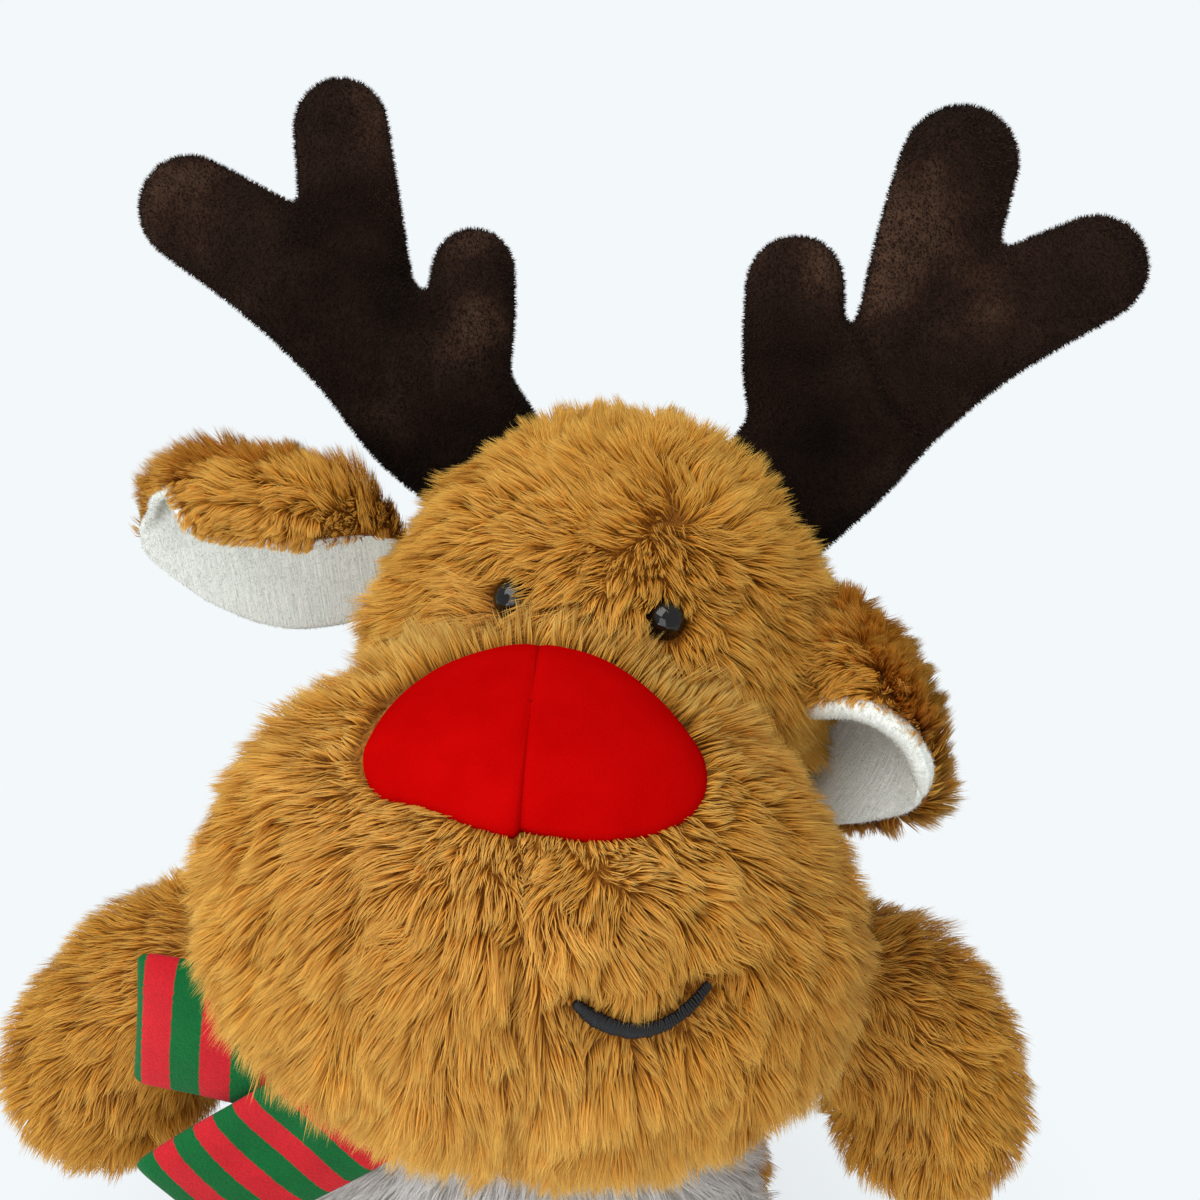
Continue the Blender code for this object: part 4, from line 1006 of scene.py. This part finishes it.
ANTLER_LINES = {
    "right": ((((0.0, 0.0), (0.0190, 0.0190), (0.0440, 0.0425), (0.0735, 0.0640), (0.1050, 0.0825)),
               (0.0225, 0.0262, 0.0230, 0.0202, 0.0178)),
              (((0.0440, 0.0480), (0.0485, 0.0780), (0.0530, 0.1090)), (0.0185, 0.0172, 0.0160)),
              (((0.0120, 0.0220), (0.0080, 0.0420), (0.0068, 0.0625)), (0.0170, 0.0155, 0.0140))),
    "left": ((((0.0, 0.0), (0.0160, 0.0175), (0.0345, 0.0355), (0.0610, 0.0535), (0.0945, 0.0705)),
              (0.0225, 0.0242, 0.0225, 0.0190, 0.0162)),
             (((0.0410, 0.0480), (0.0470, 0.0760), (0.0538, 0.1030)), (0.0180, 0.0184, 0.0180)),
             (((0.0085, 0.0230), (0.0050, 0.0440), (0.0046, 0.0672)), (0.0170, 0.0163, 0.0155)))}
ANTLER_DART = ((0.0205, 0.0600), (0.0274, 0.0433), (0.0334, 0.0291), (0.0383, 0.0236), (0.0426, 0.0203))


def painted_shade_at_antler_foot(made):
    """Painted shade: the antler's colour kept to a small share low at its foot, rising to all of it near the tips."""
    return made.ramp(made.parts_of(made.here())["Z"], (0.345, 0.22), (0.400, 0.85), (0.430, 1.0))


dark_minky = Finish("antler_dark_minky", 0.9, 0.05, 0.0)
# Random brushed patches of the minky's nap, dark to light: partly its own tone, and in the lightest patches a painted
# sheen.
brushed_patches_and_sheen = dark_minky.ramp(dark_minky.noise(24.0, 2.5), (0.32, colour(26, 17, 12)), (0.52, colour(50, 34, 26)),
                          (0.72, colour(90, 66, 51)))
nap = dark_minky.noise(1100.0, 4.0)
rubbed_and_sheen = dark_minky.times(brushed_patches_and_sheen, dark_minky.ramp(nap, (0.28, 0.6), (0.7, 1.0)))
# The minky's colour carries painted shade low at the antler's foot.
dark_minky.paint(dark_minky.times(rubbed_and_sheen, painted_shade_at_antler_foot(dark_minky)))
dark_minky.bump(nap, 0.0010, 0.8)
# The antler's nap fibre, with the same painted shade at the foot.
dark_fibre = fibre_finish("antler_dark_fibre", colour(20, 12, 9), colour(58, 38, 28), colour(112, 82, 62),
                          (0.22, 0.20, 0.18, 1.0), 0.8, 0.0, painted_shade_at_antler_foot)


def flat_tube(line, radii, side, matrix):
    """A tube like a limb's, in the antler's own plane, flattened front to back, its rings set by Y."""
    centre, reach, way = swept([(side * across, 0.0, up) for across, up in line], radii, 8, 10)
    deep = np.broadcast_to([0.0, 1.0, 0.0], way.shape)
    wide = unit(np.cross(way, deep))
    about = around(40)[..., None]
    rings = centre[:, None] + reach * (wide[:, None] * np.cos(about)
                                       + deep[:, None] * np.sin(about) * ANTLER_FLATNESS)
    return placed(rings, matrix)


def nap_on(name, made, count, length, body, material, seed, lay=0.5, width=0.0003):
    """Short nap on a finished mesh: one three-cornered spike a fibre, leaning at random."""
    rng = np.random.default_rng(seed)
    mesh = made.data
    mesh.calc_loop_triangles()
    point = np.empty(len(mesh.vertices) * 3, np.float32)
    mesh.vertices.foreach_get("co", point)
    normal = np.empty(len(mesh.vertices) * 3, np.float32)
    mesh.vertices.foreach_get("normal", normal)
    corner = np.empty(len(mesh.loop_triangles) * 3, np.int32)
    mesh.loop_triangles.foreach_get("vertices", corner)
    point, normal, corner = (row.reshape(-1, 3) for row in (point, normal, corner))
    a, b, c = (point[corner[:, i]] for i in range(3))
    area = np.linalg.norm(np.cross(b - a, c - a), axis=1).astype(float)
    pick = rng.choice(len(corner), count, p=area / area.sum())
    share = rng.dirichlet((1, 1, 1), count)
    root = (point[corner[pick]] * share[..., None]).sum(1)
    out = unit((normal[corner[pick]] * share[..., None]).sum(1))
    loose = rng.normal(0, 1, (count, 3))
    loose = unit(loose - (loose * out).sum(1, keepdims=True) * out)
    tall = length * rng.uniform(0.6, 1.2, (count, 1))
    tip = root + tall * (out * math.cos(lay) + loose * math.sin(lay))
    edge = np.cross(out, loose) * width / 2
    strip = np.stack([root - edge, root + edge, tip], 1).reshape(-1, 3)
    value = np.zeros((count, 3, 2))
    value[..., 0] = rng.random(count)[:, None]
    value[:, 2, 1] = 1.0
    fibre = mesh_object(name, strip, np.arange(count * 3), np.full(count, 3), value.reshape(-1, 2))
    fibre.data.materials.append(material)
    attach(fibre, body)
    return fibre


dart_line = smooth_line(ANTLER_DART, 12)
for word, side in SIDES.items():
    matrix = head_frame @ antler_root[word]
    tubes = [flat_tube(line, radii, side, matrix) for line, radii in ANTLER_LINES[word]]
    points = np.concatenate([tube.reshape(-1, 3) for tube in tubes])
    starts = np.cumsum([0] + [tube.shape[0] * tube.shape[1] for tube in tubes[:-1]])
    faces = np.concatenate([grid_faces(*tube.shape[:2], True) + start for tube, start in zip(tubes, starts)])
    antler = sewn("antler_cloth_" + word, points, faces, dark_minky.material)
    joined = antler.modifiers.new("Sewn as one", "REMESH")
    joined.mode = "VOXEL"
    joined.voxel_size = 0.0016
    eased = antler.modifiers.new("Stuffed round", "SMOOTH")
    eased.factor = 0.5
    eased.iterations = 14
    finished = bpy.data.meshes.new_from_object(antler.evaluated_get(bpy.context.evaluated_depsgraph_get()))
    antler.modifiers.clear()
    antler.data = finished
    finished.materials.clear()
    finished.materials.append(dark_minky.material)
    finished.polygons.foreach_set("use_smooth", np.ones(len(finished.polygons), bool))
    if word == "left":
        skin = np.empty(len(finished.vertices) * 3, np.float32)
        finished.vertices.foreach_get("co", skin)
        skin = skin.reshape(-1, 3).astype(float)
        flat = placed(skin, np.linalg.inv(matrix))
        gap = flat[:, None, [0, 2]] - dart_line[None]
        near = np.linalg.norm(gap, axis=2).argmin(1)
        off = gap[np.arange(len(near)), near]
        way = unit(np.gradient(dart_line, axis=0))[near]
        beside = off[:, 0] * way[:, 1] - off[:, 1] * way[:, 0]
        beyond = (off * way).sum(1)
        fold = 0.0016 * np.exp(-((beside - 0.0030) / 0.0024) ** 2) - 0.0022 * np.exp(-(beside / 0.0016) ** 2)
        fold = fold * np.exp(-(beyond / 0.002) ** 2) * (flat[:, 1] < 0)
        skin = skin - matrix[:3, 1] * fold[:, None]
        finished.vertices.foreach_set("co", skin.astype(np.float32).ravel())
        finished.update()
    dressed(antler, "antler_" + word, 0.9, "antler_minky", "antler_front_" + word, "antler_back_" + word)
    nap_on("antler_nap_" + word, antler, 60000, 0.0015, "antler_" + word, dark_fibre, 81 + side)


# Ears: each a leaf of brown plush lined with ribbed cream minky, its upper part rolled forward and
# down over the lining. The right ear stands out level, the left one hangs turned in its own plane.

# Each row is a place along the ear, then its lower edge, where its roll starts, the roll's radius,
# and how much cloth there is beyond that start.
EAR_LINES = {
    "right": ((-0.0040, -0.0060, 0.0040, 0.0040, 0.0060), (0.0030, -0.0140, 0.0120, 0.0080, 0.0200),
              (0.0120, -0.0245, 0.0180, 0.0110, 0.0330), (0.0220, -0.0300, 0.0205, 0.0125, 0.0400),
              (0.0400, -0.0335, 0.0215, 0.0130, 0.0415), (0.0530, -0.0322, 0.0215, 0.0130, 0.0400),
              (0.0595, -0.0302, 0.0210, 0.0128, 0.0330), (0.0645, -0.0280, 0.0195, 0.0125, 0.0240),
              (0.0720, -0.0240, 0.0165, 0.0110, 0.0200), (0.0800, -0.0176, 0.0080, 0.0080, 0.0110),
              (0.0846, -0.0125, 0.0060, 0.0060, 0.0050), (0.0885, -0.0075, 0.0025, 0.0050, 0.0020),
              (0.0905, -0.0015, -0.0005, 0.0050, 0.0003)),
    "left": ((-0.0020, -0.0060, 0.0060, 0.0060, 0.0060), (0.0040, -0.0100, 0.0120, 0.0090, 0.0220),
             (0.0120, -0.0160, 0.0165, 0.0105, 0.0350), (0.0220, -0.0240, 0.0185, 0.0115, 0.0430),
             (0.0340, -0.0310, 0.0190, 0.0120, 0.0450), (0.0440, -0.0305, 0.0190, 0.0120, 0.0390),
             (0.0540, -0.0230, 0.0165, 0.0120, 0.0280), (0.0620, -0.0140, 0.0125, 0.0115, 0.0170),
             (0.0680, -0.0060, 0.0080, 0.0110, 0.0080), (0.0715, 0.0010, 0.0030, 0.0100, 0.0003))}
EAR_ROLL_MOST = math.radians(170.0)
EAR_CUP = {"right": 1.0, "left": 10.0}
EAR_LIP = {"right": 0.0018, "left": 0.0034}
ear_frames = {"right": head_frame @ ear_root["right"],
              "left": head_frame @ ear_root["left"] @ moved(0.0115, -0.0020, -0.0225) @ turned(-46.0, "Y")}
lining_minky = Finish("ear_ribbed_minky", 0.85, 0.12, 0.3)
ribs_drawn = lining_minky.node("ShaderNodeMapping")
ribs_drawn.inputs["Scale"].default_value = (150.0, 5.0, 1.0)
lining_minky.link(lining_minky.own_map(), ribs_drawn.inputs["Vector"])
ribs = lining_minky.node("ShaderNodeTexNoise", Scale=1.0, Detail=2.0)
lining_minky.link(ribs_drawn.outputs["Vector"], ribs.inputs["Vector"])
fine_nap = lining_minky.noise(1500.0, 3.0)
rib_tone = lining_minky.ramp(ribs.outputs["Fac"], (0.32, colour(232, 238, 231)), (0.60, colour(251, 254, 250)))
lining_minky.paint(lining_minky.times(rib_tone, lining_minky.ramp(fine_nap, (0.3, 0.93), (0.7, 1.0))))
rib_height = lining_minky.mix("ADD", 0.25, ribs.outputs["Fac"], fine_nap)
lining_minky.bump(rib_height, 0.0011, 0.8)
lining_fibre = fibre_finish("ear_lining_fibre", colour(232, 238, 231), colour(246, 250, 245), colour(253, 254, 252),
                            (0.95, 0.96, 0.95, 1.0), 0.8, 0.2)


def ear_sheet(word, side, rows, columns, off):
    """The leaf's own cloth at an offset towards the lining. Across, it runs flat from the lower edge up to
    the start of the roll, then t further on lies at the angle t / radius on the roll, up to the most turn,
    past which it hangs straight. The cup brings the lower edge forward by the square of its distance."""
    line = smooth_line(EAR_LINES[word], 16)
    span = np.concatenate([[0], np.cumsum(np.linalg.norm(np.diff(line[:, :2], axis=0), axis=1))])
    even = np.linspace(0, span[-1], rows)
    along, low, start, radius, beyond = (np.interp(even, span, line[:, i])[:, None] for i in range(5))
    share = np.linspace(0, 1, columns)[None]
    t = (low - start) + (beyond + start - low) * share
    angle = np.minimum(np.maximum(t, 0) / radius, EAR_ROLL_MOST)
    rest = np.maximum(t, 0) - angle * radius
    y = -radius * (1 - np.cos(angle)) - rest * math.sin(EAR_ROLL_MOST)
    z = start + radius * np.sin(angle) + rest * math.cos(EAR_ROLL_MOST) + np.minimum(t, 0)
    y = y - EAR_CUP[word] * np.minimum(t + 0.008, 0) ** 2
    soft = np.sqrt(np.maximum(1 - np.abs(2 * share - 1) ** 14, 0)) + 0 * along
    leaf = np.stack([side * (along + 0 * t), y - off * soft * np.cos(angle), z - off * soft * np.sin(angle)], -1)
    values = np.stack([along / 0.09 + 0 * t, share + 0 * along], -1)
    return placed(leaf, ear_frames[word]), values, angle, share + 0 * along


for word, side in SIDES.items():
    matrix = ear_frames[word]
    back, values, angle, share = ear_sheet(word, side, 84, 72, -0.0016)
    middle = ear_sheet(word, side, 84, 72, 0.0002)[0]
    front = ear_sheet(word, side, 84, 72, 0.0022)[0]
    ear = panel("ear_cloth_" + word, back, middle, brown_backing)
    dressed(ear, "ear_" + word, 0.4, "brown_fur", "ear_" + word)
    lining = panel("ear_lining_cloth_" + word, front, middle, lining_minky.material, values=values)
    dressed(lining, "ear_" + word, 0.3, "cream_minky", "ear_lining_" + word)
    nap_on("ear_lining_nap_" + word, lining, 30000, 0.0011, "ear_" + word, lining_fibre, 95 + side, 0.9, 0.00026)

    hem = middle[8:, -1]
    way = unit(np.gradient(hem, axis=0))
    first = unit(np.cross(way, matrix[:3, 1]))
    second = np.cross(way, first)
    rows = np.arange(len(hem))
    thick = EAR_LIP[word] * np.sqrt(np.clip(np.minimum(rows / 14, (len(hem) - 1 - rows) / 5), 0, 1))
    about = around(16)[..., None]
    ring = hem[:, None] + thick[:, None, None] * (first[:, None] * np.cos(about) + second[:, None] * np.sin(about))
    hem_values = np.stack([np.repeat(values[8:, -1, :1], 16, 1), np.tile(np.linspace(0, 1, 16), (len(hem), 1))], -1)
    lip = rings_sewn("ear_lip_" + word, ring, lining_minky.material, hem_values)
    dressed(lip, "ear_" + word, 0.3, "cream_minky")
    nap_on("ear_lip_nap_" + word, lip, 4000, 0.0011, "ear_" + word, lining_fibre, 98 + side, 0.9, 0.00026)

    def combed_over_the_roll(points, normals, matrix=matrix, side=side, hang=(-0.5 if word == "right" else 1.0)):
        """Towards the tip, and over the roll to its edge; below the roll, down to the lower edge."""
        axis = matrix[:3, 0]
        flat = placed(points, np.linalg.inv(matrix))
        over = np.clip((flat[:, 2:3] + 0.004) / 0.012, -hang, 1)
        base = np.exp(-(np.maximum(side * flat[:, :1], 0) / 0.022) ** 2)
        return np.cross(axis[None], normals) * over + (0.7 + 1.6 * base) * side * axis

    edge = np.minimum(share / 0.05, 1) * np.minimum((1 - share) / (0.22 if word == "right" else 0.30) + 0.25, 1)
    tall = edge * np.clip(0.35 + np.linspace(0, 1, 84)[:, None] * 6, 0, 1)
    tall = tall * np.where(word == "right", 1 - 0.75 * (share < 0.12), 1.0)

    def all_kept(points, normals):
        return np.ones(len(points))

    grow_pile("ear_pile_" + word, back, 30000, 0.0135, combed_over_the_roll, all_kept, "ear_" + word,
              brown_fibre, 91 + side, out=front.reshape(-1, 3).mean(0), shares=tall, lift=1.3)


# Scarf: a tube of striped minky, red and green, wound once round the neck and tied to the toy's
# right, with two stuffed ends hanging from the knot. The stripes run across it.

STRIPE = 0.0098
SCARF_WIDTH = 0.025
SCARF_THICKNESS = 0.011
SCARF_LOOP = ((0.000, 0.046, 0.200), (0.036, 0.034, 0.199), (0.048, 0.006, 0.201), (0.043, -0.028, 0.183),
              (0.000, -0.057, 0.156))
KNOT_CENTRE = np.array([-0.046, -0.046, 0.176])
KNOT_HALF = np.array([0.016, 0.020, 0.016])
SCARF_END_WIDTHS = {"upper": 0.056, "lower": 0.046}
SCARF_END_THICKNESS = 0.0075


def striped(name, stripes, start=0.0):
    """Two colours in turn along the cloth, by the second value of its own map, with a soft edge."""
    made = Finish(name, 0.85, 0.1, 0.08)
    ragged = made.node("ShaderNodeMath", operation="MULTIPLY_ADD")
    made.link(made.noise(900.0, 3.0), ragged.inputs[0])
    ragged.inputs[1].default_value = 0.07
    times = made.node("ShaderNodeMath", operation="MULTIPLY_ADD")
    made.link(made.parts_of(made.own_map())["Y"], times.inputs[0])
    times.inputs[1].default_value = stripes / 2
    times.inputs[2].default_value = start
    made.link(times.outputs[0], ragged.inputs[2])
    part = made.node("ShaderNodeMath", operation="FRACT")
    made.link(ragged.outputs[0], part.inputs[0])
    red, green = colour(222, 34, 46), colour(2, 112, 52)
    band = made.ramp(part.outputs[0], (0.0, green), (0.48, green), (0.5, red), (0.98, red), (1.0, green))
    cloud = made.cloud(60.0, 3.0, 0.80, 1.0)
    nap = made.noise(1300.0, 4.0)
    soft = made.times(cloud, made.ramp(nap, (0.28, 0.78), (0.7, 1.0)))
    made.paint(made.times(band, soft))
    made.bump(nap, 0.0009, 0.7)
    return made.material


def strip_grid(length, wide, thick, rows, columns):
    """A flat stuffed tube: a rounded section drawn in at both ends, a little thinner between its folds."""
    along = np.linspace(0, 1, rows)[:, None]
    about = around(columns)
    near_end = np.clip(np.minimum(along, 1 - along) * length / 0.006, 0, 1)
    round_end = np.sqrt(1 - (1 - near_end) ** 2)
    across = np.sign(np.cos(about)) * np.abs(np.cos(about)) ** 0.55
    deep = np.sign(np.sin(about)) * np.abs(np.sin(about)) ** 0.9
    swell = 1 + 0.10 * np.sin(along * 9.0 + 1.0)
    x = length * along + 0 * about
    z = wide / 2 * across * (0.90 + 0.10 * round_end)
    y = thick / 2 * deep * round_end * swell
    y = y + 0.0009 * np.sin(along * 7.0) * np.cos(2.2 * across)
    return np.stack([x, y, z], -1), np.stack([about / (2 * math.pi) + 0 * along, along + 0 * about], -1)


for name, place, length, angle, low, start in (("upper", (-0.003, -0.0105, 0.0012), 0.0775, 174.0, 0.012, 0.12),
                                               ("lower", (0, -0.0187, 0), 0.092, 224.0, 0.012, 0.50)):
    matrix = moved(*(KNOT_CENTRE + place)) @ turned(-angle, "Y")
    grid, values = strip_grid(length - low, SCARF_END_WIDTHS[name], SCARF_END_THICKNESS, 90, 64)
    grid[..., 0] += low
    stripes = (length - low) / STRIPE
    end = rings_sewn("scarf_end_cloth_" + name, placed(grid, matrix),
                     striped("scarf_stripes_" + name, stripes, start - stripes / 2 + 20), values)
    dressed(end, "scarf_end_" + name, 0.5, "scarf_minky", "scarf_end_" + name)

left_side = np.array(SCARF_LOOP)
loop = np.vstack([left_side, left_side[-2:0:-1] * [-1, 1, 1]])
run = smooth_line(np.vstack([loop[-1], loop, loop[:2]]), 10)[10:-10]
run = run[:-1] if np.allclose(run[0], run[-1]) else run
way = unit(np.roll(run, -1, 0) - np.roll(run, 1, 0))
out = unit(np.cross(way, [0.0, 0.0, 1.0]))
up = np.cross(out, way)
about = around(32)[..., None]
band = run[:, None] + SCARF_THICKNESS / 2 * out[:, None] * np.cos(about) + SCARF_WIDTH / 2 * up[:, None] * np.sin(about)
span = np.concatenate([[0], np.cumsum(np.linalg.norm(np.diff(run, axis=0), axis=1))])
stripes = 2 * round(span[-1] / STRIPE / 2)
closed_band = np.concatenate([band, band[:1]])
values = np.zeros((*closed_band.shape[:2], 2))
values[..., 0] = np.linspace(0, 1, 32, endpoint=False)
values[..., 1] = np.append(span / span[-1], 1.0)[:len(closed_band), None]
wrap = rings_sewn("scarf_wrap_band", closed_band, striped("scarf_stripes_wrap", stripes), values)
dressed(wrap, "trunk", 0.6, "scarf_minky", "scarf_wrap")

knot_grid = ball_grid(moved(*KNOT_CENTRE), KNOT_HALF, 40, 56)
away = knot_grid - KNOT_CENTRE
crease = 1 - 0.06 * np.cos(3 * np.arctan2(away[..., 2], away[..., 0]) + 60 * away[..., 1]) ** 8
knot_grid = KNOT_CENTRE + away * crease[..., None]
values = np.stack([np.linspace(0, 1, 56, endpoint=False)[None] + 0 * knot_grid[..., 0],
                   (away[..., 0] + 0.6 * away[..., 2]) / 0.06 + 0.5], -1)
knot = rings_sewn("scarf_knot_tie", knot_grid, striped("scarf_stripes_knot", 0.06 / STRIPE), values)
dressed(knot, "trunk", 0.7, "scarf_minky", "scarf_knot")


# Photo set: a plain pale floor and surround, a soft lamp from the upper left, a weaker one from the
# front left and a small low one in front to the left, and a camera at the photograph's place. Camera
# rays see the pale colour, and the floor keeps the toy's shadow near it.

pale = colour(243, 248, 251)
backdrop = bpy.data.worlds.new("pale_surround")
bpy.context.scene.world = backdrop
backdrop.use_nodes = True
tree = backdrop.node_tree
light = tree.nodes["Background"]
light.inputs["Color"].default_value = (1.0, 1.0, 1.0, 1.0)
light.inputs["Strength"].default_value = 0.55
seen = tree.nodes.new("ShaderNodeBackground")
seen.inputs["Color"].default_value = pale
path = tree.nodes.new("ShaderNodeLightPath")
choose = tree.nodes.new("ShaderNodeMixShader")
tree.links.new(path.outputs["Is Camera Ray"], choose.inputs["Fac"])
tree.links.new(light.outputs[0], choose.inputs[1])
tree.links.new(seen.outputs[0], choose.inputs[2])
tree.links.new(choose.outputs[0], tree.nodes["World Output"].inputs["Surface"])

floor_finish = Finish("pale_floor", 0.9, 0.1)
floor_finish.shader.inputs["Base Color"].default_value = pale
near = floor_finish.node("ShaderNodeVectorMath", operation="LENGTH")
floor_finish.link(floor_finish.here(), near.inputs[0])
glow_share = floor_finish.ramp(near.outputs["Value"], (0.0, 0.62), (0.30, 1.0))
floor_path = floor_finish.node("ShaderNodeLightPath")
seen_share = floor_finish.node("ShaderNodeMath", operation="MULTIPLY")
floor_finish.link(glow_share, seen_share.inputs[0])
floor_finish.link(floor_path.outputs["Is Camera Ray"], seen_share.inputs[1])
glow = floor_finish.node("ShaderNodeEmission", Color=pale, Strength=1.0)
floor_finish.blend_in(glow, seen_share.outputs[0])
floor = sewn("floor", np.array([(-3, -3, -0.0005), (3, -3, -0.0005), (3, 3, -0.0005), (-3, 3, -0.0005)], float),
             np.array([[0, 1, 2, 3]]), floor_finish.material, smooth=False)

for name, place, size, power in (("key", (-0.45, -0.50, 1.40), 1.0, 11.0), ("fill", (-0.20, -1.40, 0.55), 1.0, 6.0),
                                ("catch", (-0.60, -1.10, 0.15), 0.25, 0.6)):
    lamp = bpy.data.lights.new(name, "AREA")
    lamp.size = size
    lamp.energy = power
    bulb = bpy.data.objects.new(name, lamp)
    bpy.context.scene.collection.objects.link(bulb)
    bulb.location = place
    bulb.rotation_euler = (Vector(place) - Vector((0, -0.05, 0.28))).to_track_quat("Z", "Y").to_euler()

aim = Vector(eye_spots.mean(0))
azimuth, elevation = math.radians(4.0), math.radians(26.0)
toward = Vector((math.sin(azimuth) * math.cos(elevation), -math.cos(azimuth) * math.cos(elevation),
                 math.sin(elevation)))
lens = bpy.data.cameras.new("photo_camera")
lens.lens = 37.5
lens.sensor_width = 36.0
lens.clip_start = 0.02
lens.shift_x = (600 - 589) / 1200
lens.shift_y = (609 - 600) / 1200
camera = bpy.data.objects.new("photo_camera", lens)
bpy.context.scene.collection.objects.link(camera)
camera.matrix_world = (Matrix.Translation(aim + toward * 0.35) @ toward.to_track_quat("Z", "Y").to_matrix().to_4x4()
                       @ Matrix.Rotation(math.radians(5.0), 4, "Z"))
bpy.context.scene.camera = camera
bpy.context.scene.view_settings.view_transform = "Standard"
